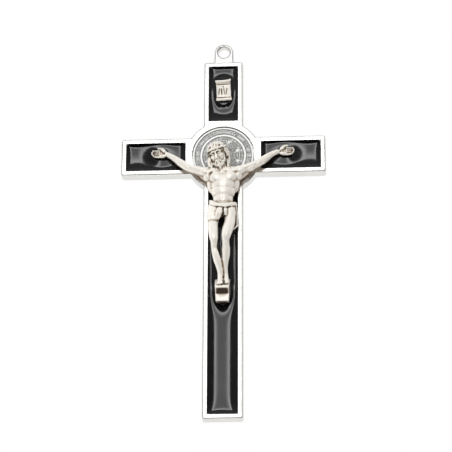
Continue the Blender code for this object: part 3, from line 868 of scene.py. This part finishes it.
def handMasses():
    parts = []
    for side in (-1, 1):
        rise = 0.35 if side < 0 else 0.4
        parts.append(blob((side * 19.3, -1.15, rise), (1.55, 0.55, 1.35)))
        parts.append(blob((side * 18.8, -1.5, rise + 0.75), (0.95, 0.5, 0.6), (0, -side * 25, 0)))
        parts.append(blob((side * 19.0, -1.45, rise - 0.7), (1.1, 0.45, 0.55)))
        parts.append(blob((side * 19.5, -1.72, rise), (0.27, 0.16, 0.27)))      # nail head
        reach = (1.95, 2.35, 2.3, 1.85)
        for finger in range(4):
            height = rise + 1.02 - 0.66 * finger
            root, length = 20.3, reach[finger]
            parts += tube([(side * (root - 0.4), -1.2, height, 0.36),
                           (side * (root + length * 0.42), -1.2, height * 0.96, 0.35),
                           (side * (root + length * 0.82), -1.55, height * 0.88, 0.32),
                           (side * (root + length * 0.93), -2.05, height * 0.82, 0.27)])
        parts += tube([(side * 18.3, -1.35, rise + 0.7, 0.45), (side * 19.0, -1.55, rise + 1.35, 0.42),
                       (side * 19.9, -1.85, rise + 1.62, 0.34), (side * 20.5, -2.2, rise + 1.5, 0.27)])
    return parts


def footMasses():
    parts = []
    for toe in range(5):
        parts += tube([(-1.25 + 0.34 * toe, -4.45, -44.2, 0.24),
                       (-1.33 + 0.36 * toe, -4.85, -44.85 + 0.06 * toe, 0.24)])
    for toe in range(4):
        parts += tube([(1.1 + 0.3 * toe, -4.1, -43.9, 0.21),
                       (1.15 + 0.31 * toe, -4.4, -44.5 + 0.08 * toe, 0.2)])
    parts.append(blob((-0.55, -4.35, -42.9), (0.3, 0.2, 0.3)))                  # nail head
    return parts


def faceMasses():
    parts = [
        headBlob((0, 0.45, 1.0), (2.5, 2.9, 2.75)),
        headBlob((0, -1.3, 1.15), (2.15, 1.62, 1.8)),
        headBlob((0, -1.0, -0.95), (2.15, 2.05, 2.5)),
        headBlob((0, -1.5, -2.7), (1.35, 1.35, 1.15)),
    ]
    parts += headTube([(-1.7, -2.35, 0.42, 0.2), (-0.85, -2.85, 0.62, 0.22), (0, -2.9, 0.48, 0.24),
                       (0.85, -2.85, 0.62, 0.22), (1.7, -2.35, 0.42, 0.2)])
    parts += headTube([(0, -2.75, 0.4, 0.34), (0, -3.08, -0.6, 0.38), (0, -3.52, -1.36, 0.42)])
    for side in (-1, 1):
        parts.append(headBlob((side * 0.38, -3.2, -1.58), (0.29, 0.32, 0.24)))
        parts.append(headBlob((side * 1.3, -1.9, -0.8), (0.75, 0.8, 0.6)))
        parts.append(headBlob((side * 0.95, -2.5, -0.05), (0.5, 0.4, 0.3)))
    parts += headTube([(-0.62, -2.72, -2.42, 0.12), (0, -3.0, -2.34, 0.2), (0.62, -2.72, -2.42, 0.12)])
    parts += headTube([(-0.5, -2.72, -2.72, 0.14), (0, -2.96, -2.76, 0.22), (0.5, -2.72, -2.72, 0.14)])
    return parts


def beardMasses():
    parts = [headBlob((0, -1.85, -3.5), (1.25, 1.05, 1.05))]
    for side in (-1, 1):
        parts += headTube([(side * 0.1, -3.05, -1.98, 0.16), (side * 0.62, -2.82, -2.2, 0.22),
                           (side * 1.05, -2.4, -2.95, 0.2)])
        parts += headTube([(side * 1.9, -0.6, -0.9, 0.35), (side * 1.6, -1.35, -2.2, 0.52),
                           (side * 1.05, -1.95, -3.0, 0.58)])
        for lock in range(4):
            x = side * (0.15 + 0.32 * lock)
            parts += headTube([(x, -2.7 + 0.2 * lock, -3.0, 0.22),
                               (x * 1.2, -2.8 + 0.25 * lock, -3.8 + 0.1 * lock, 0.24),
                               (x * 0.9, -2.6 + 0.25 * lock, -4.65 + 0.35 * lock, 0.13)])
    return parts


def hairMasses():
    parts = [headBlob((0, 0.75, 1.2), (2.75, 2.95, 2.85))]
    lower = {-1: ((-4.05, -3.6, -2.6), (-3.75, -3.8, -4.6), (-3.35, -4.2, -6.3)),
             1: ((1.75, -3.5, -2.4), (1.8, -3.6, -4.6), (2.2, -4.1, -6.8))}
    for side in (-1, 1):
        for lock in range(9):
            row, column = divmod(lock, 3)
            wave = 0.16 * math.sin(lock * 2.3 + side)
            temple = onHead((side * (2.0 + 0.3 * column), -1.5 + 0.85 * row + 0.25 * column, 1.75 + wave))
            ear = onHead((side * (2.2 + 0.32 * column), -0.95 + 0.75 * row + 0.2 * column, -0.3))
            path = [(*temple, 0.34), (*ear, 0.37)]
            for step, place in enumerate(lower[side]):
                sway = 0.2 * math.sin(lock * 1.3 + step * 2.1)
                path.append((place[0] + side * 0.36 * (column - 1) * (1 - 0.3 * step) + sway,
                             place[1] + 0.6 * row + 0.1 * column, place[2] + 0.3 * row * step,
                             (0.38, 0.33, 0.16)[step]))
            parts += tube(path)
        for strand in range(8):                                     # combed from the parting to the crown
            y = -1.75 + 0.72 * strand
            top = 1.2 + 2.75 * math.sqrt(max(0.0, 1 - ((y - 0.6) / 3.2) ** 2))
            parts += headTube([(side * 0.12, y, top, 0.22), (side * 1.35, y - 0.12, top - 0.42, 0.3),
                               (side * 2.3, y + 0.05, min(top - 0.9, 2.3), 0.3)])
    return parts


def crownMasses():
    parts = []
    steps = 72
    for strand in range(3):
        ring = []
        for step in range(steps + 1):
            angle = math.tau * step / steps
            twist = 6 * angle + math.tau * strand / 3
            out = 0.22 * math.cos(twist)
            ring.append(((2.82 + out) * math.cos(angle), 0.1 + (3.05 + out) * math.sin(angle),
                         1.75 + 0.22 * math.sin(twist) + 0.3 * math.sin(angle), 0.19))
        parts += headTube(ring, caps=False)
    for thorn in range(14):
        angle = math.tau * (thorn + 0.5) / 14
        base = Vector((2.9 * math.cos(angle), 0.1 + 3.1 * math.sin(angle), 1.75 + 0.3 * math.sin(angle)))
        lean = 0.6 if thorn % 2 else -0.45
        tip = base + Vector((math.cos(angle) * 0.4, math.sin(angle) * 0.25, lean))
        parts += headTube([(*base, 0.16), (*tip, 0.07)], caps=False)
    return parts


def clothMasses():
    parts = []
    band = [(-4.0, -2.3, -16.9), (-3.3, -4.2, -17.7), (-1.8, -5.0, -18.75), (0.4, -5.3, -19.2),
            (2.4, -5.0, -18.85), (3.9, -3.7, -18.2), (4.35, -2.2, -18.0)]
    for fold in range(3):
        drop = 0.36 - 0.36 * fold
        parts += tube([(x, y - 0.08 * fold, z + drop, 0.34 - 0.03 * fold) for x, y, z in band])
    parts += tube([(-2.3, -3.15, -18.6, 2.2), (-2.75, -3.8, -21.6, 2.0),            # left thigh, open hem
                   (-2.88, -4.1, -24.1, 1.78)], caps=False)
    parts += tube([(2.0, -3.0, -19.4, 1.9), (2.5, -3.5, -21.0, 1.85), (2.5, -3.7, -22.6, 1.6)])
    parts.append(blob((-1.2, -3.9, -20.6), (1.9, 1.5, 2.2)))                        # cloth below the belt
    parts.append(blob((1.2, -3.9, -20.4), (1.7, 1.35, 2.1)))
    parts.append(blob((0.4, -5.4, -19.45), (0.5, 0.4, 0.42)))                       # knot
    parts += tube([(0.95, -5.0, -19.7, 0.5), (1.15, -5.2, -20.9, 0.58),             # short end
                   (1.15, -5.1, -22.0, 0.45)])
    parts += tube([(0.0, -5.0, -19.8, 0.5), (-0.3, -5.3, -21.0, 0.6),               # long end
                   (-0.75, -5.35, -22.3, 0.6), (-1.15, -5.3, -23.4, 0.48)])
    parts += tube([(-0.8, -4.9, -19.9, 0.75), (-1.35, -5.15, -21.4, 0.8), (-1.75, -5.2, -23.2, 0.72)])
    for fold in range(3):                                                           # tail on the hip
        shift = 0.34 * fold
        parts += tube([(4.1 - 0.3 * shift, -2.9 + shift, -18.3, 0.42),
                       (4.55 - 0.3 * shift, -2.3 + shift, -21.0, 0.4),
                       (4.75 - 0.4 * shift, -2.0 + shift * 0.7, -23.4, 0.36),
                       (4.85 - 0.7 * shift, -1.8 + shift * 0.6, -24.9, 0.2)])
    parts += tube([(4.6, -1.9, -24.6, 0.3), (3.9, -1.9, -25.5, 0.32), (3.2, -2.2, -26.1, 0.25)])
    return parts


def remeshed(item, voxel, rounds, factor=0.5):
    addModifier(item, "REMESH", mode="VOXEL", voxel_size=voxel, adaptivity=0)
    addModifier(item, "SMOOTH", factor=factor, iterations=rounds)
    applyModifiers(item)
    return item


def pressFront(mesh, strokes):
    points = readPoints(mesh)
    normals = readNormals(mesh)
    flat = np.column_stack(((points[:, 0]) / mm, (points[:, 2] - crossingZ) / mm))
    facing = np.clip((-normals[:, 1] - 0.1) / 0.5, 0, 1)
    shift = np.zeros(len(points))
    for path, width, depth in strokes:
        shift += depth * np.exp(-(pathDistance(flat, path) / width) ** 2)
    writePoints(mesh, points + normals * (shift * facing * mm)[:, None])


def pressSpace(mesh, strokes):
    points = readPoints(mesh)
    normals = readNormals(mesh)
    shift = np.zeros(len(points))
    for path, width, depth in strokes:
        shift += depth * np.exp(-(pathDistance(points, path) / (width * mm)) ** 2)
    writePoints(mesh, points + normals * (shift * mm)[:, None])


def torsoStrokes():
    strokes = [
        ([(0.12, -8.3), (0.15, -9.9)], 0.45, -0.035),                    # breastbone
        ([(-0.6, -10.45), (-1.7, -10.75), (-3.2, -10.1), (-4.0, -9.0)], 0.42, -0.06),
        ([(0.8, -10.45), (1.9, -10.65), (3.5, -9.9), (4.3, -8.8)], 0.42, -0.06),
        ([(-0.3, -11.2), (-1.3, -12.2), (-2.2, -13.8), (-2.8, -15.4)], 0.55, -0.045),
        ([(0.5, -11.2), (1.6, -12.2), (2.5, -13.8), (3.0, -15.4)], 0.55, -0.045),
        ([(0.1, -11.6), (0.12, -15.8)], 0.3, -0.04),
        ([(-1.1, -12.55), (1.2, -12.5)], 0.35, -0.03), ([(-1.2, -13.8), (1.4, -13.75)], 0.35, -0.035),
        ([(-1.1, -15.0), (1.3, -15.0)], 0.35, -0.025), ([(0.15, -16.3), (0.15, -16.45)], 0.28, -0.10),
        ([(-2.1, -15.4), (-1.95, -17.1)], 0.6, -0.07), ([(2.4, -15.6), (2.25, -17.2)], 0.6, -0.07),
        ([(-0.5, -7.75), (-2.4, -7.35), (-4.6, -7.1)], 0.4, 0.07),       # collar bones
        ([(0.7, -7.75), (2.5, -7.25), (4.5, -6.8)], 0.4, 0.07),
    ]
    for side in (-1, 1):
        for rib in range(4):
            low = -11.0 - 1.0 * rib
            outer, inner = side * (3.9 - 0.15 * rib), side * (2.4 + 0.15 * rib)
            strokes.append(([(outer, low + 0.45), (inner, low - 0.2)], 0.3, -0.04))
    return strokes


def clothStrokes():
    return [
        ([(0.36, -20.1), (0.3, -21.2), (0.05, -22.1), (-0.6, -23.2)], 0.2, -0.22),
        ([(-4.0, -18.4), (-3.45, -19.0), (-1.84, -19.65), (0.0, -19.75)], 0.2, -0.2),
        ([(0.6, -19.95), (1.6, -19.85), (2.6, -19.4)], 0.2, -0.1),
        ([(-1.2, -20.3), (-2.3, -21.4)], 0.25, -0.05), ([(-0.95, -22.0), (-1.4, -23.4)], 0.16, -0.1),
        ([(-0.5, -20.2), (-1.3, -21.8), (-1.7, -23.6)], 0.3, 0.06),
    ]


def limbStrokes():
    strokes = [
        ([(-2.0, -32.4), (-0.7, -41.0)], 0.22, 0.09), ([(1.2, -32.0), (1.1, -40.6)], 0.22, 0.08),
        ([(-2.9, -25.4), (-2.5, -30.0)], 0.3, -0.07), ([(1.7, -25.4), (1.2, -29.2)], 0.3, -0.07),
        ([(-3.2, -32.2), (-2.4, -32.4), (-1.7, -32.2)], 0.4, -0.08),    # below the knees
        ([(0.2, -31.4), (1.2, -31.6), (2.1, -31.4)], 0.4, -0.08),
        ([(-7.2, -6.9), (-10.2, -5.6)], 0.28, -0.12), ([(7.2, -6.3), (10.1, -4.9)], 0.28, -0.12),
        ([(-10.6, -5.5), (-11.5, -4.1)], 0.25, -0.1), ([(10.5, -4.9), (11.4, -3.2)], 0.25, -0.1),
        ([(-12.4, -4.2), (-16.6, -0.7)], 0.22, -0.09), ([(12.3, -3.4), (16.2, -0.3)], 0.22, -0.09),
        ([(-17.3, -0.3), (-18.0, 0.6)], 0.25, -0.08), ([(17.0, -0.2), (17.6, 0.8)], 0.25, -0.08),
    ]
    for side, rise in ((-1, 0.35), (1, 0.4)):
        strokes.append(([(side * 19.5, rise - 0.05), (side * 19.6, rise + 0.05)], 0.55, -0.2))
        strokes.append(([(side * 19.5, rise), (side * 19.52, rise)], 0.22, 0.22))
        strokes.append(([(side * 18.7, rise + 0.25), (side * 19.9, rise + 0.85)], 0.16, -0.1))
        for gap in range(3):
            height = rise + 0.69 - 0.66 * gap
            strokes.append(([(side * 20.4, height), (side * 22.3, height * 0.85)], 0.13, -0.14))
    return strokes


def faceStrokes():
    strokes = []
    for side in (-1, 1):
        socket = [onHeadMetres((side * 0.75, -2.95, 0.22)), onHeadMetres((side * 1.3, -2.75, 0.18))]
        under = [onHeadMetres((side * 0.7, -2.9, -0.42)), onHeadMetres((side * 1.35, -2.7, -0.4))]
        lid = [onHeadMetres((side * 0.6, -2.95, -0.14)), onHeadMetres((side * 1.0, -2.95, -0.2)),
               onHeadMetres((side * 1.4, -2.75, -0.12))]
        corner = [onHeadMetres((side * 0.42, -2.95, 0.1)), onHeadMetres((side * 0.45, -2.95, -0.1))]
        fold = [onHeadMetres((side * 0.55, -3.05, -1.6)), onHeadMetres((side * 0.95, -2.7, -2.3))]
        strokes += [(socket, 0.24, -0.12), (under, 0.2, -0.08), (lid, 0.09, -0.06), (corner, 0.25, -0.12),
                    (fold, 0.2, -0.04)]
    lips = ((-0.6, -2.95, -2.56), (0, -3.25, -2.54), (0.6, -2.95, -2.56))
    mouth = [onHeadMetres(place) for place in lips]
    strokes.append((mouth, 0.1, -0.14))
    return strokes


def onHeadMetres(place):
    return np.array(figurePoint(onHead(place)))


bracket = {
    "topWidth": 4.7 * mm, "footWidth": 4.1 * mm, "height": 7.6 * mm, "reach": 3.7 * mm, "lip": 0.6 * mm,
    "nose": 3.27 * mm, "coveDrop": 1.15 * mm, "plateTop": 1.75 * mm, "plateFoot": 1.65 * mm,
}


def makeBracket():
    top = crossingZ - 41.9 * mm
    foot, nose = top - bracket["height"], top - bracket["nose"]
    inner = frontY - corpus["standoff"]
    profile = [
        (inner, top), (inner - bracket["reach"], nose), (inner - bracket["reach"], nose - bracket["lip"]),
        (inner - bracket["plateTop"], nose - bracket["lip"] - bracket["coveDrop"]),
        (inner - bracket["plateFoot"], foot), (inner, foot),
    ]
    bpy.ops.object.select_all(action="DESELECT")
    bpy.ops.mesh.primitive_cylinder_add(vertices=len(profile), radius=1, depth=1)
    item = bpy.context.active_object
    for vertex in item.data.vertices:
        y, z = profile[vertex.index // 2]
        share = (top - z) / bracket["height"]
        half = (bracket["topWidth"] * (1 - share) + bracket["footWidth"] * share) / 2
        vertex.co = (-half if vertex.index % 2 else half, y, z)
    faceOutwards()
    return item


def onHeadLocal(points):
    flat = np.column_stack((points[:, 0], points[:, 1] - frontY, points[:, 2] - crossingZ)) / mm
    return (flat - np.array(headPose["centre"])) @ np.array(headTurn) / headPose["unit"]


def hairShare(points):
    x, y, z = onHeadLocal(points).T
    fromFace = np.sqrt((x / 1.95) ** 2 + ((y + 3.0) / 2.3) ** 2 + ((z + 0.75) / 2.35) ** 2)
    share = np.clip((fromFace - 1) / 0.15, 0, 1) * (np.abs(x) < 4.2) * np.clip((z + 6.2) / 0.8, 0, 1)
    below = np.clip((z + 3.1) / 0.3, 0, 1)          # under the chin only the side locks are hair
    return share * np.maximum(below, np.clip((np.abs(x) - 1.9) / 0.4, 0, 1)) * (y < 3.5)


def beardShare(points):
    x, y, z = onHeadLocal(points).T
    share = np.clip((-2.55 - z) / 0.25, 0, 1) * np.clip((z + 5.2) / 0.3, 0, 1)
    return share * (np.abs(x) < 1.7) * (y < -0.9)


def combStrands(mesh):
    points = readPoints(mesh)
    normals = readNormals(mesh)
    x, y, z = onHeadLocal(points).T
    around = np.arctan2(x, -(y - 0.6))
    wave = np.sin(around * 19 + 1.1 * np.sin(z * 1.5) + 0.6 * np.sin(z * 3.1 + 1))
    crown = np.clip((np.abs(z - 1.75 - 0.1 * y) - 0.5) / 0.2, 0, 1)
    shift = 0.085 * wave * crown * hairShare(points)
    shift += 0.05 * np.sin(x * 12 + 0.6 * z) * beardShare(points)
    writePoints(mesh, points + normals * (shift * mm)[:, None])


def paintedShadeAndPatina(points, normals):
    # painted shade under the bracket's lip, with some patina in its cove
    low = crossingZ - 41.9 * mm - bracket["nose"] - bracket["lip"]
    inside = (points[:, 2] < low + 0.15 * mm) & (points[:, 2] > low - bracket["coveDrop"] - 0.1 * mm)
    under = np.clip(-normals[:, 2] * 3 - 0.9, 0, 1)
    sides = np.clip((2.1 * mm - np.abs(points[:, 0])) / (0.15 * mm), 0, 1)
    cove = inside * under * sides
    turned = np.clip((normals[:, 1] + 0.72) / 0.8, 0, 1)      # painted shade: faces turned away from the front are darkened
    # painted shade on downward faces and on parts further back
    lower = np.clip(-normals[:, 2] - 0.1, 0, 1)
    back = np.clip((points[:, 1] - frontY + 4.6 * mm) / (3.5 * mm), 0, 1)
    # hair and beard are made darker overall
    hair = 0.14 * hairShare(points) + 0.08 * beardShare(points)
    return 0.75 * cove + 0.75 * turned + 0.55 * lower + 0.1 * back + hair


def makeCorpus():
    body = joinPieces(bodyMasses() + muscleMasses(), "body")
    remeshed(body, corpus["bodyVoxel"], corpus["bodySmooth"])
    details = handMasses() + footMasses() + faceMasses() + beardMasses()
    details += hairMasses() + crownMasses() + clothMasses()
    item = joinPieces([body] + details + [makeBracket()], "corpusCast")
    remeshed(item, corpus["fineVoxel"], corpus["fineSmooth"])
    print("corpus blended", len(item.data.polygons))
    pressFront(item.data, torsoStrokes() + clothStrokes() + limbStrokes())
    pressSpace(item.data, faceStrokes())
    combStrands(item.data)
    addModifier(item, "SMOOTH", factor=0.4, iterations=1)
    applyModifiers(item)
    cutter = boxCutter((-40 * mm, frontY - corpus["standoff"], -90 * mm), (40 * mm, 20 * mm, 20 * mm))
    combine(item, cutter, "DIFFERENCE")
    print("corpus faces", len(item.data.polygons))
    ratio = corpus["most"] / (2 * len(item.data.polygons))
    if ratio < 1:
        addModifier(item, "DECIMATE", ratio=ratio)
        applyModifiers(item)
    # fine scales are patina in crevices; the broadest scale is painted shade standing in for occlusion
    markPatinaAndShade(item, [(4, 0.05 * mm, 0.45), (30, 0.20 * mm, 0.9), (110, 0.5 * mm, 1.3)], paintedShadeAndPatina)
    smoothShade(item, 60)
    dress(item, antiquedSilver, "antiqued_silver", "corpus")
    return item


makeCorpus()
print("corpus ready")


# Studio

studio = {
    "floorDrop": 0.33, "floorSize": 1.0, "softAway": (-0.101, -1.903, 0.608),
    "softWidth": 0.51, "softHeight": 0.605, "softLevel": 1.06, "frameFrom": 0.35, "frameGain": 3.9,
    "sparkSize": 0.035, "sparkLevel": 30,
    "mirrorWay": (-0.06, -0.93, 0.362), "cardUp": (0.0, 0.36, 0.93), "cardLow": 0.02, "cardHigh": 0.5,
    "cardFrom": 0.66, "cardTo": 0.40, "roomLevel": 0.97,
    "lowWay": (0.5, -0.45, -0.74), "lowFrom": 0.1, "lowTo": 0.8, "lowLevel": 0.25,
    "keyWay": (-0.35, -0.75, 0.55), "keyLevel": 1.72,
    "shadeTone": (0.045, 0.037, 0.029), "halfTone": (0.17, 0.148, 0.12),
}


def makeFloor():
    bpy.ops.object.select_all(action="DESELECT")
    middle = (0, 0.2, plateLow[2] - studio["floorDrop"])
    bpy.ops.mesh.primitive_plane_add(size=studio["floorSize"], location=middle)
    floor = bpy.context.active_object
    floor.name = "floor"
    material, nodes, links, shader = newMaterial("paleFloor")
    coords = nodes.new("ShaderNodeTexCoord")
    cloud = noiseNode(nodes, links, coords, 12)
    tone = rampNode(nodes, links, cloud.outputs["Fac"], [(0.3, grey(0.86)), (0.8, grey(0.9))])
    links.new(tone.outputs["Color"], shader.inputs["Base Color"])
    shader.inputs["Roughness"].default_value = 0.8
    floor.data.materials.append(material)


def areaLight(name, place, target, width, height, level):
    light = bpy.data.lights.new(name, "AREA")
    light.shape = "RECTANGLE"
    light.size = width
    light.size_y = height
    light.energy = level * math.pi * width * height
    item = bpy.data.objects.new(name, light)
    item.location = place
    item.rotation_euler = (Vector(target) - Vector(place)).to_track_quat("-Z", "Y").to_euler()
    item.visible_camera = False
    scene.collection.objects.link(item)
    return item


def makeLights():
    target = Vector((0, 0, crossingZ))
    middle = target + Vector(studio["softAway"])
    soft = areaLight("softBox", middle, target, studio["softWidth"], studio["softHeight"],
                     studio["softLevel"])
    light = soft.data
    light.use_nodes = True
    nodes, links = light.node_tree.nodes, light.node_tree.links
    coords = nodes.new("ShaderNodeTexCoord")
    fromMiddle = nodes.new("ShaderNodeVectorMath")
    fromMiddle.operation = "MULTIPLY_ADD"
    fromMiddle.inputs[1].default_value = (2, 2, 0)
    fromMiddle.inputs[2].default_value = (-1, -1, 0)
    links.new(coords.outputs["UV"], fromMiddle.inputs[0])
    size = nodes.new("ShaderNodeVectorMath")
    size.operation = "ABSOLUTE"
    links.new(fromMiddle.outputs["Vector"], size.inputs[0])
    split = nodes.new("ShaderNodeSeparateXYZ")
    links.new(size.outputs["Vector"], split.inputs["Vector"])
    reach = nodes.new("ShaderNodeMath")
    reach.operation = "MAXIMUM"
    links.new(split.outputs["X"], reach.inputs[0])
    links.new(split.outputs["Y"], reach.inputs[1])
    glow = nodes.new("ShaderNodeMapRange")                         # the cloth is brighter along its frame
    glow.interpolation_type = "SMOOTHERSTEP"
    glow.inputs["From Min"].default_value = studio["frameFrom"]
    glow.inputs["To Min"].default_value = 1
    glow.inputs["To Max"].default_value = studio["frameGain"]
    links.new(reach.outputs["Value"], glow.inputs["Value"])
    links.new(glow.outputs["Result"], nodes["Emission"].inputs["Strength"])
    bpy.context.view_layer.update()
    turn = soft.matrix_world.to_3x3()
    corner = middle + turn @ Vector((studio["softWidth"] / 2, -studio["softHeight"] / 2, 0.01))
    areaLight("spark", corner, target, studio["sparkSize"], studio["sparkSize"], studio["sparkLevel"])


def wayNode(nodes, links, coords, way):
    made = nodes.new("ShaderNodeVectorMath")
    made.operation = "DOT_PRODUCT"
    links.new(coords.outputs["Generated"], made.inputs[0])
    made.inputs[1].default_value = Vector(way).normalized()
    return made


def rangeNode(nodes, links, source, spanFrom, spanTo, kind="LINEAR"):
    made = nodes.new("ShaderNodeMapRange")
    made.interpolation_type = kind
    links.new(source.outputs["Value"], made.inputs["Value"])
    for socket, value in zip(("From Min", "From Max", "To Min", "To Max"), (*spanFrom, *spanTo)):
        made.inputs[socket].default_value = value
    return made


def makeWorld():
    world = bpy.data.worlds.new("studio")
    scene.world = world
    world.use_nodes = True
    nodes, links = world.node_tree.nodes, world.node_tree.links
    nodes.clear()
    coords = nodes.new("ShaderNodeTexCoord")
    facing = wayNode(nodes, links, coords, studio["mirrorWay"])
    card = rangeNode(nodes, links, facing, (studio["cardTo"], studio["cardFrom"]),      # dark cards round
                     (studio["roomLevel"], 0), "SMOOTHSTEP")                            # the soft light
    above = wayNode(nodes, links, coords, studio["cardUp"])
    shade = rangeNode(nodes, links, above, (-0.3, 0.4), (studio["cardLow"], studio["cardHigh"]))
    links.new(shade.outputs["Result"], card.inputs["To Max"])      # the card is black low down, grey above
    low = wayNode(nodes, links, coords, studio["lowWay"])
    lowRange = rangeNode(nodes, links, low, (studio["lowFrom"], studio["lowTo"]),       # the low right side
                         (1, studio["lowLevel"]), "SMOOTHSTEP")                         # of the room is dim
    level = nodes.new("ShaderNodeMath")
    level.operation = "MULTIPLY"
    links.new(card.outputs["Result"], level.inputs[0])
    links.new(lowRange.outputs["Result"], level.inputs[1])
    room = nodes.new("ShaderNodeBackground")
    links.new(level.outputs["Value"], room.inputs["Strength"])
    keyed = wayNode(nodes, links, coords, studio["keyWay"])
    keyRange = rangeNode(nodes, links, keyed, (-1, 1), (0, 1))
    tone = rampNode(nodes, links, keyRange.outputs["Result"],
                    [(0.05, studio["shadeTone"]), (0.5, studio["halfTone"]), (0.95, (1, 1, 1))])
    tent = nodes.new("ShaderNodeBackground")
    tent.inputs["Strength"].default_value = studio["keyLevel"]
    links.new(tone.outputs["Color"], tent.inputs["Color"])
    rays = nodes.new("ShaderNodeLightPath")
    lit = nodes.new("ShaderNodeMixShader")
    links.new(rays.outputs["Is Diffuse Ray"], lit.inputs["Fac"])
    links.new(room.outputs["Background"], lit.inputs[1])
    links.new(tent.outputs["Background"], lit.inputs[2])
    white = nodes.new("ShaderNodeBackground")
    white.inputs["Color"].default_value = (1, 1, 1, 1)
    mix = nodes.new("ShaderNodeMixShader")
    links.new(rays.outputs["Is Camera Ray"], mix.inputs["Fac"])
    links.new(lit.outputs["Shader"], mix.inputs[1])
    links.new(white.outputs["Background"], mix.inputs[2])
    out = nodes.new("ShaderNodeOutputWorld")
    links.new(mix.outputs["Shader"], out.inputs["Surface"])


cameraSet = {
    "place": Vector((0.037934, -0.580325, -0.28534)), "look": Vector((-0.0597, 0.9303, 0.3620)),
    "right": Vector((0.9980, 0.0630, 0.0027)), "focalPixels": 1980, "imagePixels": 452, "sensor": 36,
}


def makeCamera():
    data = bpy.data.cameras.new("camera")
    data.sensor_width = cameraSet["sensor"]
    data.lens = cameraSet["focalPixels"] / cameraSet["imagePixels"] * cameraSet["sensor"]
    data.clip_start = 0.01
    data.clip_end = 20
    camera = bpy.data.objects.new("camera", data)
    look = cameraSet["look"].normalized()
    right = (cameraSet["right"] - look * cameraSet["right"].dot(look)).normalized()
    up = right.cross(look)
    turn = Matrix((right, up, -look)).transposed().to_4x4()
    camera.matrix_world = Matrix.Translation(cameraSet["place"]) @ turn
    scene.collection.objects.link(camera)
    scene.camera = camera


makeFloor()
makeLights()
makeWorld()
makeCamera()
scene.view_settings.view_transform = "Standard"
print("studio ready")
